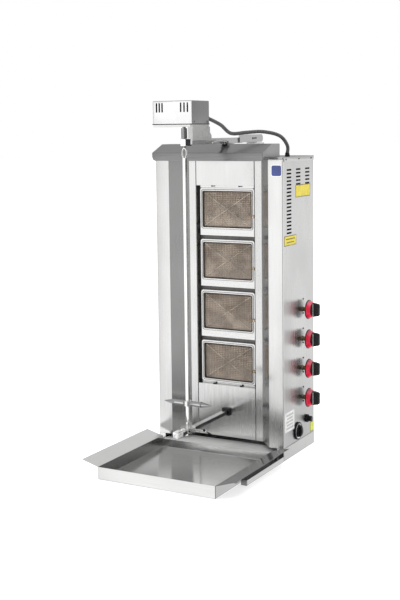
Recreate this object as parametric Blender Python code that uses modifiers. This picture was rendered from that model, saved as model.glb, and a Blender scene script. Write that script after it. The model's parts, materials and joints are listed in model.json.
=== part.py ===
"""Vertical gas rotisserie grill with four infrared burners, a turning skewer and a drip tray.

Metres, +Z up. X runs to the right of someone who faces the grill and Y runs to its back.
Every piece is placed from the middle of the cabinet's front, at table height. One empty, the
parent of them all, then moves the model so that the origin is the middle of the base pan.
"""
import math

import bmesh
import bpy
from mathutils import Matrix, Vector

# ---- driving dimensions ----------------------------------------------------------------------
GAP = 0.0003                 # clearance between touching pieces
SHEET = 0.0012               # stainless sheet
SEAM = 0.0015                # open seam beside the panels above and below the burners

HALF_W = 0.2300              # half the cabinet's width
DEPTH = 0.2475               # cabinet, front to back
BASE_H = 0.0414              # base pan
TOP_Z = 0.9730               # top of the lid
SKIRT = 0.0150               # height of the lid's rim
LID_OUT = 0.0015             # how far the lid and the base stand out from the side panels

PILLAR_X = 0.1800            # inner edge of a front pillar
WING_X = 0.1328              # inner edge of the slanted reflector wing
CHANNEL_X = 0.1072           # half the width of the burner channel
CHANNEL_Y = 0.0521           # plane of the panels above and below the burners
CARRIER_Y = 0.0775           # plate that carries the burners
FRONT_TOP_Z = 0.9665         # top of the front sheets
PANEL_TOP_Z = 0.9700         # top of the side and back panels, under the lid
PANEL_FRONT_Y = 0.0103       # front edge of a side panel, behind the front sheet's flange
LOWER_TOP_Z = 0.2150         # top of the panel below the burners
UPPER_LOW_Z = 0.8790         # underside of the panel above them
FLANGE_Y = 0.0650            # how far back the flanges of both panels reach

VENT_COLUMNS = (0.0500, 0.1220, 0.1950)
VENT_LONG = 18               # slots in the long column at the front
VENT_SHORT = 5
VENT_TOP_Z = 0.9320
VENT_PITCH = 0.01175
VENT_SIZE = (0.0320, 0.0050)
BACK_VENT_SIZE = (0.0700, 0.0060)
BACK_VENT_X = 0.0900
BACK_VENT_TOP_Z = 0.8600
BACK_VENT_PITCH = 0.0160
BACK_VENT_ROWS = 8
BURNERS = 4
BURNER_TOP_Z = 0.8005        # middle of the highest burner
BURNER_PITCH = 0.1700
FRAME_W, FRAME_H = 0.1986, 0.1400
TILE_W, TILE_H = 0.1800, 0.1200      # visible part of a ceramic tile
FRAME_Y = 0.0660
LIP_H = 0.0170                       # lip below a frame, towards the next burner
TUBE_DROP, TUBE_Y = 0.0450, 0.1050   # mixing tube, below and behind the burner's middle

HOOD_X = 0.1980
HOOD_LOW_Z = 0.9630
HOOD_TOP_Z = 1.0150
FASCIA_Y, FASCIA_TOP_Z = -0.0735, 0.9885
HOOD_TOP_Y, HOOD_BACK_Y = -0.0090, 0.0505
HOOD_CORNER = 0.0120         # rounding of the fascia's lower corners

SKEWER_Y = -0.2100           # axis of the skewer
SKEWER_SIDE = 0.0105
ROD_LOW_Z, ROD_TOP_Z = 0.1560, 0.9770
EYE_Z = 0.9905
SPIKE_Z = 0.2150

ARM_X0, ARM_X1 = 0.0290, 0.0370      # flat bar that carries the motor
ARM_Z0 = HOOD_TOP_Z + 0.0018
ARM_Z1 = ARM_Z0 + 0.0177
BEARING_Z0 = 1.0125

COVER_X0, COVER_X1 = -0.0925, 0.0450
COVER_Y0, COVER_Y1 = -0.2400, -0.1320
COVER_Z0, COVER_Z1 = 1.0795, 1.1490
COVER_SLOTS = (-0.0785, -0.0687, -0.0588, 0.0060, 0.0176, 0.0292)
SLOT_Z0, SLOT_Z1 = 1.1140, 1.1435
PLATE_Z0 = 1.0705            # underside of the plate that carries the gear motor
BRACKET_Z0 = 1.0290
BRACKET_BACK_Y = -0.1180

LEVER_Y, LEVER_Z = -0.0180, HOOD_TOP_Z + 0.0060
LEVER_LENGTH = 0.1000

SUPPORT_W = 0.0180           # lower arm
SUPPORT_Z0, SUPPORT_Z1 = 0.1222, 0.1332
SUPPORT_FRONT, SUPPORT_BACK = -0.2700, 0.1500
CARRIAGE_FRONT, CARRIAGE_BACK = -0.2350, -0.1850
CLAMP_Y, CLAMP_Z = -0.1930, 0.1277
HANDLE_X = 0.0520
HANDLE_LEAN = 118.5          # degrees that the clamp handle leans back from upright

CONDUIT_RADIUS = 0.0052
CONDUIT_START = (0.0330, COVER_Y1, 1.0970)
CONDUIT_END = (0.1950, 0.1150, TOP_Z)

KNOB_Y = 0.1600
KNOB_TOP_Z = 0.4720
KNOB_PITCH = 0.0980
KNOB_X = 0.2480              # back of a knob's skirt
KNOB_DEPTH = 0.0390
KNOB_SKIRT = ((0.0, 0.0185), (0.0200, 0.0185), (0.0208, 0.0176), (0.0228, 0.0150), (0.0262, 0.0090),
              (0.0295, 0.0036), (0.0315, 0.0026), (0.0315, 0.0008), (0.0305, 0.0), (0.0, 0.0))
GRIP_BACK, GRIP_FRONT = 0.0220, 0.0190       # half heights of the grip
GRIP_W = 0.0180
SPINDLE_X, SPINDLE_LENGTH = 0.2110, 0.0590
SPINDLE_R = 0.0040
VALVE_BACK_X = 0.1960
MANIFOLD_X, MANIFOLD_Y = 0.2080, 0.1880
MANIFOLD_LOW_Z, MANIFOLD_LENGTH = 0.1300, 0.3650
INLET_Z = 0.1420
IGNITER_Y, IGNITER_Z = 0.1825, 0.1005
SWITCH_Y, SWITCH_Z = 0.1100, 0.0757

RAIL_X0, RAIL_X1 = 0.2115, 0.2315
RAIL_FRONT, RAIL_H, RAIL_WALL = -0.2655, 0.0172, 0.0015
MOUTH_X, MOUTH_Z = 0.2075, 0.0120            # opening in the base pan's front
TRAY_X = 0.2040
TRAY_FRONT = 0.4150
TRAY_H = 0.0400
TRAY_BACK_Y = -0.0215
TRAY_Z0 = 0.0008
LEDGE_Z0, LEDGE_Z1 = 0.0270, 0.0282
LEDGE_BACK_Y = 0.0600
FLAP_ANGLE = 15.0
FLAP_W = 0.0620

STEEL = ((0.62, 0.62, 0.61), 0.28, 1.0)
DARK_STEEL = ((0.34, 0.34, 0.34), 0.35, 1.0)
CAST = ((0.58, 0.58, 0.57), 0.45, 1.0)
BRASS = ((0.60, 0.43, 0.16), 0.30, 1.0)
CERAMIC = ((0.30, 0.25, 0.20), 0.90, 0.0)
BLACK = ((0.015, 0.015, 0.017), 0.35, 0.0)
CONDUIT = ((0.18, 0.18, 0.19), 0.40, 0.6)


# ---- scene and helpers -----------------------------------------------------------------------
for old in list(bpy.data.objects):
    bpy.data.objects.remove(old, do_unlink=True)

parts = bpy.data.collections.new("rotisserie_grill")
cutters = bpy.data.collections.new("cutters")
for collection in (parts, cutters):
    bpy.context.scene.collection.children.link(collection)
grill = bpy.data.objects.new("grill", None)
grill.location = (0.0, -(DEPTH + LID_OUT) / 2.0, 0.0)
parts.objects.link(grill)
materials = {}


def material(finish):
    """One Principled material for each finish."""
    if finish not in materials:
        mat = bpy.data.materials.new("finish_%d" % len(materials))
        mat.use_nodes = True
        shader = mat.node_tree.nodes["Principled BSDF"]
        colour, roughness, metallic = finish
        shader.inputs["Base Color"].default_value = (*colour, 1.0)
        shader.inputs["Roughness"].default_value = roughness
        shader.inputs["Metallic"].default_value = metallic
        materials[finish] = mat
    return materials[finish]


def add(name, mesh, finish=None, origin=(0.0, 0.0, 0.0)):
    """Put a mesh that is in world places into the scene, with its origin at a given point."""
    mesh.transform(Matrix.Translation(-Vector(origin)))
    obj = bpy.data.objects.new(name, mesh)
    obj.parent = grill
    obj.location = origin
    if finish is None:
        obj.hide_render = True
        obj.display_type = "WIRE"
        cutters.objects.link(obj)
    else:
        mesh.materials.append(material(finish))
        parts.objects.link(obj)
    return obj


def box(name, low, high, finish=None, origin=(0.0, 0.0, 0.0)):
    """A box between two corners."""
    bm = bmesh.new()
    bmesh.ops.create_cube(bm, size=1.0)
    low, high = Vector(low), Vector(high)
    size = Matrix.Diagonal((*(high - low), 1.0))
    bm.transform(Matrix.Translation((low + high) / 2.0) @ size)
    mesh = bpy.data.meshes.new(name)
    bm.to_mesh(mesh)
    bm.free()
    return add(name, mesh, finish, origin)


AXES = {"X": Matrix.Rotation(math.radians(90.0), 4, "Y"),
        "Y": Matrix.Rotation(math.radians(-90.0), 4, "X"),
        "Z": Matrix.Identity(4)}


def cylinder(name, start, axis, length, radius, finish=None, sides=24, end_radius=None,
             origin=(0.0, 0.0, 0.0)):
    """A cylinder or cone that starts at a point and runs along +X, +Y or +Z."""
    bm = bmesh.new()
    end_radius = radius if end_radius is None else end_radius
    bmesh.ops.create_cone(bm, cap_ends=True, segments=sides, radius1=radius,
                          radius2=end_radius, depth=length)
    bm.transform(Matrix.Translation((0.0, 0.0, length / 2.0)))
    bm.transform(Matrix.Translation(start) @ AXES[axis])
    mesh = bpy.data.meshes.new(name)
    bm.to_mesh(mesh)
    bm.free()
    smooth(mesh)
    return add(name, mesh, finish, origin)


def smooth(mesh):
    mesh.shade_smooth()
    mesh.set_sharp_from_angle(angle=math.radians(35.0))


def mesh_of(obj):
    """The evaluated mesh of an object, in world places; the object is removed."""
    bpy.context.view_layer.update()
    graph = bpy.context.evaluated_depsgraph_get()
    mesh = bpy.data.meshes.new_from_object(obj.evaluated_get(graph))
    mesh.transform(obj.matrix_world)
    bpy.data.objects.remove(obj, do_unlink=True)
    bm = bmesh.new()
    bm.from_mesh(mesh)
    bmesh.ops.remove_doubles(bm, verts=bm.verts, dist=0.000002)
    bmesh.ops.recalc_face_normals(bm, faces=bm.faces)
    bm.to_mesh(mesh)
    bm.free()
    mesh.materials.clear()
    return mesh


PLANES = {  # a flat outline's own X and Y axes, and the way it is thickened
    "XY": Matrix.Identity(4),
    "XZ": Matrix(((1, 0, 0, 0), (0, 0, 1, 0), (0, 1, 0, 0), (0, 0, 0, 1))),
    "YZ": Matrix(((0, 0, 1, 0), (1, 0, 0, 0), (0, 1, 0, 0), (0, 0, 0, 1)))}


def plate(name, outline, plane, start, thickness, finish=None, origin=(0.0, 0.0, 0.0)):
    """A flat closed outline in a plane, thickened from start along the plane's normal."""
    curve = bpy.data.curves.new(name, "CURVE")
    curve.dimensions = "2D"
    curve.fill_mode = "BOTH"
    curve.extrude = thickness / 2.0
    spline = curve.splines.new("POLY")
    spline.points.add(len(outline) - 1)
    for point, (u, v) in zip(spline.points, outline):
        point.co = (u, v, 0.0, 1.0)
    spline.use_cyclic_u = True
    guide = bpy.data.objects.new(name + "_outline", curve)
    parts.objects.link(guide)
    guide.matrix_world = PLANES[plane] @ Matrix.Translation((0.0, 0.0, start + thickness / 2.0))
    return add(name, mesh_of(guide), finish, origin)


def arc(cx, cy, radius, start, end, steps=6):
    """Points on an arc, angles in degrees."""
    angles = [math.radians(start + (end - start) * i / steps) for i in range(steps + 1)]
    return [(cx + radius * math.cos(a), cy + radius * math.sin(a)) for a in angles]


def rounded(cx, cy, width, height, radius, steps=4):
    """The outline of a rectangle with round corners."""
    points = []
    for corner, (sx, sy) in enumerate(((1, 1), (-1, 1), (-1, -1), (1, -1))):
        x = cx + sx * (width / 2.0 - radius)
        y = cy + sy * (height / 2.0 - radius)
        points += arc(x, y, radius, corner * 90.0, corner * 90.0 + 90.0, steps)
    return points


def folded(name, line, z0, z1, thickness, finish, mirrored=False):
    """A sheet folded along upright lines: its plan is a line of (x, y) points."""
    bm = bmesh.new()
    side = -1.0 if mirrored else 1.0
    low = [bm.verts.new((side * x, y, z0)) for x, y in line]
    high = [bm.verts.new((side * x, y, z1)) for x, y in line]
    for i in range(len(line) - 1):
        face = [low[i], low[i + 1], high[i + 1], high[i]]
        bm.faces.new(face if mirrored else face[::-1])
    mesh = bpy.data.meshes.new(name)
    bm.to_mesh(mesh)
    bm.free()
    obj = add(name, mesh, finish)
    solid = obj.modifiers.new("sheet", "SOLIDIFY")
    solid.thickness = thickness
    solid.offset = -1.0
    solid.use_even_offset = True
    return obj


def turned(name, profile, axis, centre, finish=None, sides=32, origin=None):
    """A solid of revolution; profile is (radius, height) from top to bottom on the outer side."""
    bm = bmesh.new()
    verts = [bm.verts.new((radius, 0.0, height)) for radius, height in profile]
    for a, b in zip(verts, verts[1:]):
        bm.edges.new((a, b))
    mesh = bpy.data.meshes.new(name)
    bm.to_mesh(mesh)
    bm.free()
    obj = bpy.data.objects.new(name + "_profile", mesh)
    parts.objects.link(obj)
    screw = obj.modifiers.new("turn", "SCREW")
    screw.steps = screw.render_steps = sides
    screw.use_merge_vertices = True
    screw.merge_threshold = 0.00001
    obj.matrix_world = Matrix.Translation(centre) @ AXES[axis]
    result = mesh_of(obj)
    smooth(result)
    return add(name, result, finish, centre if origin is None else origin)


def boolean(obj, tool, operation):
    change = obj.modifiers.new(operation.lower(), "BOOLEAN")
    change.operation = operation
    change.object = tool
    change.solver = "EXACT"


def cut(obj, *tools):
    for tool in tools:
        boolean(obj, tool, "DIFFERENCE")


def join(obj, *tools):
    for tool in tools:
        boolean(obj, tool, "UNION")


def bevel(obj, width, segments=2):
    edge = obj.modifiers.new("edges", "BEVEL")
    edge.width = width
    edge.segments = segments
    edge.limit_method = "ANGLE"
    edge.angle_limit = math.radians(40.0)


# ---- base, rails and tray --------------------------------------------------------------------
def base():
    out = HALF_W + LID_OUT
    pan = box("base_pan", (-out, 0.0, 0.0), (out, DEPTH + LID_OUT, BASE_H), STEEL)
    cut(pan,
        box("pan_inside", (-out + SHEET, SHEET, SHEET), (out - SHEET, DEPTH + LID_OUT - SHEET, 0.1)),
        box("pan_mouth", (-MOUTH_X, -0.01, MOUTH_Z), (MOUTH_X, 0.01, 0.1)))


def rails():
    """Inverted channels that the tray runs between, fixed to the front of the base pan."""
    for name, x0, x1 in (("left_rail", -RAIL_X1, -RAIL_X0), ("right_rail", RAIL_X0, RAIL_X1)):
        rail = box(name, (x0, RAIL_FRONT, 0.0), (x1, -GAP, RAIL_H), STEEL)
        cut(rail, box(name + "_inside", (x0 + RAIL_WALL, RAIL_FRONT + RAIL_WALL, -0.01),
                      (x1 - RAIL_WALL, -RAIL_WALL, RAIL_H - RAIL_WALL)))


def tray():
    """A folded pan: low back wall with a ledge, flared side flaps, open at the top."""
    pan = box("drip_tray", (-TRAY_X, -TRAY_FRONT, TRAY_Z0), (TRAY_X, TRAY_BACK_Y, TRAY_H), STEEL)
    cut(pan,
        box("tray_inside", (-TRAY_X + SHEET, -TRAY_FRONT + SHEET, TRAY_Z0 + SHEET),
            (TRAY_X - SHEET, TRAY_BACK_Y - SHEET, 0.1)),
        box("tray_back_low", (-TRAY_X - 0.01, TRAY_BACK_Y - 0.004, LEDGE_Z1), (TRAY_X + 0.01, 0.01, 0.1)))
    ledge = box("tray_ledge", (-TRAY_X, TRAY_BACK_Y - SHEET, LEDGE_Z0), (TRAY_X, LEDGE_BACK_Y, LEDGE_Z1))
    join(pan, ledge)
    for side in (-1.0, 1.0):
        flap = plate("tray_flap", flap_outline(side), "XY", 0.0, SHEET)
        lean = Matrix.Rotation(side * math.radians(-FLAP_ANGLE), 4, "Y")
        flap.data.transform(Matrix.Translation((side * (TRAY_X - 0.0006), 0.0, TRAY_H - SHEET)) @ lean)
        join(pan, flap)


def flap_outline(side):
    """A side flap seen flat: its front corner is cut at a slant."""
    tip = -TRAY_FRONT + (0.0 if side < 0 else 0.0150)
    return [(0.0, -TRAY_FRONT), (side * FLAP_W, tip), (side * FLAP_W, TRAY_BACK_Y - 0.0060),
            (0.0, TRAY_BACK_Y - 0.0060)][::int(side)]


# ---- cabinet ---------------------------------------------------------------------------------
def vents(panel, x, columns):
    """Rows of level slots, cut through a side panel."""
    for y, rows in columns:
        for row in range(rows):
            z = VENT_TOP_Z - row * VENT_PITCH
            low = (x - 0.01, y - VENT_SIZE[0] / 2.0, z - VENT_SIZE[1] / 2.0)
            high = (x + 0.01, y + VENT_SIZE[0] / 2.0, z + VENT_SIZE[1] / 2.0)
            cut(panel, box("vent", low, high))


def side_panels():
    z0, z1 = BASE_H + GAP, PANEL_TOP_Z
    right = box("right_side_panel", (HALF_W - SHEET, PANEL_FRONT_Y, z0), (HALF_W, DEPTH, z1), STEEL)
    vents(right, HALF_W, ((VENT_COLUMNS[0], VENT_LONG), (VENT_COLUMNS[1], VENT_SHORT),
                          (VENT_COLUMNS[2], VENT_SHORT)))
    for i in range(BURNERS):
        cut(right, cylinder("neck_hole", (0.22, KNOB_Y, knob_z(i)), "X", 0.02, 0.0080))
    cut(right, cylinder("igniter_hole", (0.22, IGNITER_Y, IGNITER_Z), "X", 0.02, 0.0083),
        cylinder("switch_hole", (0.22, SWITCH_Y, SWITCH_Z), "X", 0.02, 0.0063))
    left = box("left_side_panel", (-HALF_W, PANEL_FRONT_Y, z0), (-HALF_W + SHEET, DEPTH, z1), STEEL)
    vents(left, -HALF_W, ((VENT_COLUMNS[0], VENT_LONG),))


def back_panel():
    inner = HALF_W - SHEET - GAP
    panel = box("back_panel", (-inner, DEPTH - SHEET, BASE_H + GAP), (inner, DEPTH, PANEL_TOP_Z), STEEL)
    width, height = BACK_VENT_SIZE
    for row in range(BACK_VENT_ROWS):
        for x in (-BACK_VENT_X, BACK_VENT_X):
            z = BACK_VENT_TOP_Z - row * BACK_VENT_PITCH
            cut(panel, box("back_vent", (x - width / 2.0, 0.2, z - height / 2.0),
                           (x + width / 2.0, 0.3, z + height / 2.0)))
    cut(panel, cylinder("gas_hole", (MANIFOLD_X, 0.2, INLET_Z), "Y", 0.1, 0.0100))


def lid():
    out = HALF_W + LID_OUT
    cover = box("top_cover", (-out, -0.0010, TOP_Z - SKIRT), (out, DEPTH + LID_OUT, TOP_Z), STEEL)
    inner = HALF_W + GAP
    cut(cover,
        box("lid_inside", (-inner, 0.0002, 0.90), (inner, DEPTH + GAP, TOP_Z - SHEET)),
        box("lid_front", (-0.3, -0.01, 0.90), (0.3, PANEL_FRONT_Y, 0.9690)),
        cylinder("conduit_hole", (CONDUIT_END[0], CONDUIT_END[1], 0.95), "Z", 0.05, 0.0060))


def front_sheets():
    """Pillar, slanted wing, flat strip and channel wall, folded from one sheet on each side."""
    line = [(HALF_W, PANEL_FRONT_Y - GAP), (HALF_W, 0.0), (PILLAR_X, 0.0), (WING_X, CHANNEL_Y),
            (CHANNEL_X, CHANNEL_Y), (CHANNEL_X, CARRIER_Y - GAP)]
    for name, mirrored in (("right_reflector", False), ("left_reflector", True)):
        folded(name, line, BASE_H + GAP, FRONT_TOP_Z, SHEET, STEEL, mirrored)


def channel_panels():
    half = CHANNEL_X - SEAM
    y1 = CHANNEL_Y + SHEET
    upper = box("upper_panel", (-half, CHANNEL_Y, UPPER_LOW_Z), (half, y1, FRONT_TOP_Z), STEEL)
    join(upper, box("upper_flange", (-half, CHANNEL_Y, UPPER_LOW_Z), (half, FLANGE_Y, UPPER_LOW_Z + SHEET)))
    lower = box("lower_panel", (-half, CHANNEL_Y, BASE_H + GAP), (half, y1, LOWER_TOP_Z), STEEL)
    join(lower, box("lower_flange", (-half, CHANNEL_Y, LOWER_TOP_Z - SHEET), (half, FLANGE_Y, LOWER_TOP_Z)))
    hole = (SUPPORT_W / 2.0 + GAP, SUPPORT_Z0 - GAP, SUPPORT_Z1 + GAP)
    cut(lower, box("arm_hole", (-hole[0], 0.0, hole[1]), (hole[0], 0.1, hole[2])))
    wide = CHANNEL_X - GAP
    carrier = box("burner_carrier", (-wide, CARRIER_Y, LOWER_TOP_Z + 0.001),
                  (wide, CARRIER_Y + 0.0015, UPPER_LOW_Z - 0.001), STEEL)
    for i in range(BURNERS):
        cut(carrier, box("burner_window", (-0.0935, 0.0, burner_z(i) - 0.0635),
                         (0.0935, 0.2, burner_z(i) + 0.0635)))


# ---- burners ---------------------------------------------------------------------------------
def burner_z(i):
    return BURNER_TOP_Z - i * BURNER_PITCH


def burners():
    for i in range(BURNERS):
        z = burner_z(i)
        number = i + 1
        frame = plate("burner_frame_%d" % number, rounded(0.0, z, FRAME_W, FRAME_H, 0.008), "XZ",
                      FRAME_Y, CARRIER_Y - GAP - FRAME_Y, STEEL)
        if i < BURNERS - 1:
            lip = box("frame_lip", (-FRAME_W / 2.0, FRAME_Y, z - FRAME_H / 2.0 - LIP_H),
                      (FRAME_W / 2.0, FRAME_Y + SHEET, z - FRAME_H / 2.0 + 0.012))
            join(frame, lip)
        cut(frame,
            plate("frame_window", rounded(0.0, z, TILE_W, TILE_H, 0.005), "XZ", 0.05, 0.05),
            box("frame_pocket", (-0.0926, FRAME_Y + 0.0015, z - 0.0626),
                (0.0926, 0.1, z + 0.0626)))
        box("burner_tile_%d" % number, (-0.0920, FRAME_Y + 0.0019, z - 0.0620),
            (0.0920, 0.0805, z + 0.0620), CERAMIC)
        body = box("burner_box_%d" % number, (-0.0980, CARRIER_Y + 0.0018, z - 0.0680),
                   (0.0980, 0.1250, z + 0.0680), DARK_STEEL)
        join(body, cylinder("mixing_tube", (0.0900, TUBE_Y, z - TUBE_DROP), "X", 0.0750, 0.0110))
        cut(body,
            box("box_inside", (-0.0930, 0.0, z - 0.0630), (0.0930, 0.1235, z + 0.0630)),
            cylinder("tube_bore", (0.0850, TUBE_Y, z - TUBE_DROP), "X", 0.1000, 0.0095))


# ---- gas line and controls -------------------------------------------------------------------
def knob_z(i):
    return KNOB_TOP_Z - i * KNOB_PITCH


def gas_line():
    rail = cylinder("gas_manifold", (MANIFOLD_X, MANIFOLD_Y, MANIFOLD_LOW_Z), "Z", MANIFOLD_LENGTH, 0.0080,
                    BRASS)
    join(rail, cylinder("gas_inlet", (MANIFOLD_X, MANIFOLD_Y, INLET_Z), "Y", 0.0780, 0.0070))
    for i in range(BURNERS):
        z = knob_z(i)
        valve = box("gas_valve_%d" % (i + 1), (VALVE_BACK_X, 0.1470, z - 0.0140),
                    (HALF_W - SHEET - GAP, 0.1790, z + 0.0140), BRASS)
        bevel(valve, 0.0015)
        join(valve, cylinder("valve_neck", (0.2250, KNOB_Y, z), "X", 0.0085, 0.0075))
        cut(valve, cylinder("spindle_bore", (0.2100, KNOB_Y, z), "X", 0.0400, SPINDLE_R + GAP))


def spindles_and_knobs():
    for i in range(BURNERS):
        z = knob_z(i)
        centre = (KNOB_X, KNOB_Y, z)
        cylinder("gas_spindle_%d" % (i + 1), (SPINDLE_X, KNOB_Y, z), "X", SPINDLE_LENGTH, SPINDLE_R,
                 BRASS, origin=centre)
        knob = turned("gas_knob_%d" % (i + 1), KNOB_SKIRT, "X", centre, BLACK)
        back, front = KNOB_X + 0.0170, KNOB_X + KNOB_DEPTH
        outline = [(back, z - GRIP_BACK), (front, z - GRIP_FRONT), (front, z + GRIP_FRONT),
                   (back, z + GRIP_BACK)]
        grip = plate("knob_grip", outline, "XZ", KNOB_Y - GRIP_W / 2.0, GRIP_W)
        bevel(grip, 0.0025)
        join(knob, grip)
        cut(knob, cylinder("knob_bore", (KNOB_X - 0.01, KNOB_Y, z), "X", 0.0390, SPINDLE_R + GAP))


def igniter():
    bezel = cylinder("igniter_bezel", (HALF_W + GAP, IGNITER_Y, IGNITER_Z), "X", 0.0080, 0.0130, BLACK)
    join(bezel, cylinder("bezel_body", (0.2020, IGNITER_Y, IGNITER_Z), "X", 0.0300, 0.0080))
    cut(bezel, cylinder("bezel_bore", (0.2100, IGNITER_Y, IGNITER_Z), "X", 0.0400, 0.0066),
        cylinder("bezel_seat", (0.2330, IGNITER_Y, IGNITER_Z), "X", 0.0200, 0.0096))
    button = cylinder("igniter_button", (0.2385, IGNITER_Y, IGNITER_Z), "X", 0.0125, 0.0092, BLACK,
                      origin=(0.2385, IGNITER_Y, IGNITER_Z))
    bevel(button, 0.0012)
    join(button, cylinder("button_stem", (0.2160, IGNITER_Y, IGNITER_Z), "X", 0.0240, 0.0062))


def motor_switch():
    centre = (HALF_W + GAP, SWITCH_Y, SWITCH_Z)
    bezel = cylinder("switch_bezel", centre, "X", 0.0060, 0.0290, BLACK, sides=32)
    bevel(bezel, 0.0015)
    join(bezel, box("switch_body", (0.2000, SWITCH_Y - 0.0150, SWITCH_Z - 0.0150),
                    (HALF_W - SHEET - GAP, SWITCH_Y + 0.0150, SWITCH_Z + 0.0150)),
         cylinder("switch_neck", (0.2200, SWITCH_Y, SWITCH_Z), "X", 0.0130, 0.0060))
    cut(bezel, cylinder("switch_bore", (0.2060, SWITCH_Y, SWITCH_Z), "X", 0.0400, 0.0034))
    front = HALF_W + GAP + 0.0060 + GAP
    knob = cylinder("switch_knob", (front, SWITCH_Y, SWITCH_Z), "X", 0.0035, 0.0200, BLACK, sides=32,
                    origin=(front, SWITCH_Y, SWITCH_Z))
    crown = [(front + 0.0020 + 0.0105 * math.cos(a) ** 0.8, SWITCH_Z + 0.0190 * math.sin(a))
             for a in (math.radians(-88.0 + 176.0 * k / 12) for k in range(13))]
    grip = plate("switch_grip", crown, "XZ", SWITCH_Y - 0.0060, 0.0120)
    bevel(grip, 0.0015)
    join(knob, grip, cylinder("switch_spindle", (0.2100, SWITCH_Y, SWITCH_Z), "X", 0.0300, 0.0030))


# ---- hood ------------------------------------------------------------------------------------
def hood():
    """A heat deflector: upright fascia, slope and flat top, closed at both ends, open below."""
    low = HOOD_LOW_Z
    outline = [(FASCIA_Y, low), (HOOD_BACK_Y, low), (HOOD_BACK_Y, HOOD_TOP_Z), (HOOD_TOP_Y, HOOD_TOP_Z),
               (FASCIA_Y, FASCIA_TOP_Z)]
    cover = plate("hood", outline, "YZ", -HOOD_X, 2.0 * HOOD_X, STEEL)
    inner = [(FASCIA_Y + SHEET, 0.90), (HOOD_BACK_Y - SHEET, 0.90), (HOOD_BACK_Y - SHEET, HOOD_TOP_Z - SHEET),
             (HOOD_TOP_Y + 0.0004, HOOD_TOP_Z - SHEET), (FASCIA_Y + SHEET, FASCIA_TOP_Z - 0.0008)]
    cut(cover, plate("hood_inside", inner, "YZ", -HOOD_X + SHEET, 2.0 * (HOOD_X - SHEET)),
        box("hood_sides", (-0.3, FASCIA_Y + SHEET, 0.90), (0.3, 0.1, TOP_Z + GAP)))
    for side in (-1.0, 1.0):
        corner, level = side * (HOOD_X - HOOD_CORNER), low + HOOD_CORNER
        round_part = arc(corner, level, HOOD_CORNER, -90.0, -90.0 + side * 90.0)
        notch = round_part + [(side * 0.25, level), (side * 0.25, 0.90), (corner, 0.90)]
        cut(cover, plate("hood_corner", notch, "XZ", -0.1, 0.0275))


# ---- motor unit ------------------------------------------------------------------------------
def bearing_and_arm():
    """The top bearing on its neck, and the flat bar that carries everything of the drive."""
    bearing = box("bearing_block", (-0.0095, SKEWER_Y - 0.0085, BEARING_Z0),
                  (0.0095, SKEWER_Y + 0.0085, ARM_Z1 - 0.0005), STEEL)
    bevel(bearing, 0.0012)
    join(bearing, box("bearing_neck", (0.0080, SKEWER_Y - 0.0060, BEARING_Z0 + 0.0008),
                      (ARM_X0 - GAP, SKEWER_Y + 0.0060, ARM_Z1 - 0.0013)))
    cut(bearing, cylinder("bearing_bore", (0.0, SKEWER_Y, 0.9), "Z", 0.2, 0.0058))

    bar = box("motor_arm", (ARM_X0, -0.2250, ARM_Z0), (ARM_X1, 0.1100, ARM_Z1), STEEL)
    bevel(bar, 0.0008, 1)
    tail_z0, tail_z1 = ARM_Z0 + 0.0012, ARM_Z0 + 0.0272
    middle, half = 0.5 * (tail_z0 + tail_z1), 0.5 * (tail_z1 - tail_z0)
    outline = [(0.0834, tail_z1), (0.0834, tail_z0)]
    outline += arc(0.2524 - half * 0.6, middle, half, -80.0, 80.0, 8)
    slot = arc(0.2060, middle, 0.0030, -90.0, 90.0) + arc(0.1750, middle, 0.0030, 90.0, 270.0)
    join(bar, plate("arm_tail", outline, "YZ", ARM_X1 - 0.0005, 0.0045))
    cut(bar, plate("tail_slot", slot, "YZ", 0.03, 0.02))


def gearbox_bracket():
    """Casting that stands on the bar, and the folded plate beside it."""
    side_view = [(COVER_Y0 + 0.0020, PLATE_Z0 - GAP), (COVER_Y0 + 0.0020, BRACKET_Z0)]
    side_view += arc(BRACKET_BACK_Y - 0.0060, BRACKET_Z0 + 0.0060, 0.0060, -90.0, 0.0)
    side_view += [(BRACKET_BACK_Y, 1.0430), (COVER_Y1 + 0.0040, 1.0530), (COVER_Y1 + 0.0040, PLATE_Z0 - GAP)]
    casting = plate("gearbox_bracket", side_view, "YZ", ARM_X0, COVER_X1 - ARM_X0, CAST)
    cut(casting, box("bar_way", (0.0, -0.3, 1.0), (ARM_X1 + GAP, 0.0, ARM_Z1 + GAP)))
    bevel(casting, 0.0015)
    join(casting, box("bracket_flange", (0.0390, COVER_Y0 + 0.0030, PLATE_Z0 - 0.006),
                      (COVER_X1 - 0.0005, COVER_Y1 - 0.0020, COVER_Z0 - 0.0005)))
    floor_plate = box("motor_base", (COVER_X0 + 0.0010, COVER_Y0 + 0.0015, PLATE_Z0),
                      (0.0390 - GAP, COVER_Y1 - 0.0015, COVER_Z0 - GAP), STEEL)
    cut(floor_plate,
        box("base_under", (COVER_X0 + 0.0022, COVER_Y0 + 0.0027, 1.0), (0.0285, COVER_Y1 - 0.0027, 1.0775)),
        cylinder("shaft_hole", (0.0, SKEWER_Y, 1.0), "Z", 0.2, 0.0100))


def motor_cover():
    cover = box("motor_cover", (COVER_X0, COVER_Y0, COVER_Z0), (COVER_X1, COVER_Y1, COVER_Z1), STEEL)
    bevel(cover, 0.0015)
    cut(cover, box("cover_inside", (COVER_X0 + SHEET, COVER_Y0 + SHEET, 1.0),
                   (COVER_X1 - SHEET, COVER_Y1 - SHEET, COVER_Z1 - SHEET)))
    for x in COVER_SLOTS:
        for y in (COVER_Y0, COVER_Y1):
            cut(cover, box("cover_slot", (x - 0.0021, y - 0.01, SLOT_Z0), (x + 0.0021, y + 0.01, SLOT_Z1)))
    cut(cover, cylinder("conduit_gland_hole", (CONDUIT_START[0], COVER_Y1 - 0.01, CONDUIT_START[2]),
                        "Y", 0.02, 0.0064))


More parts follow.
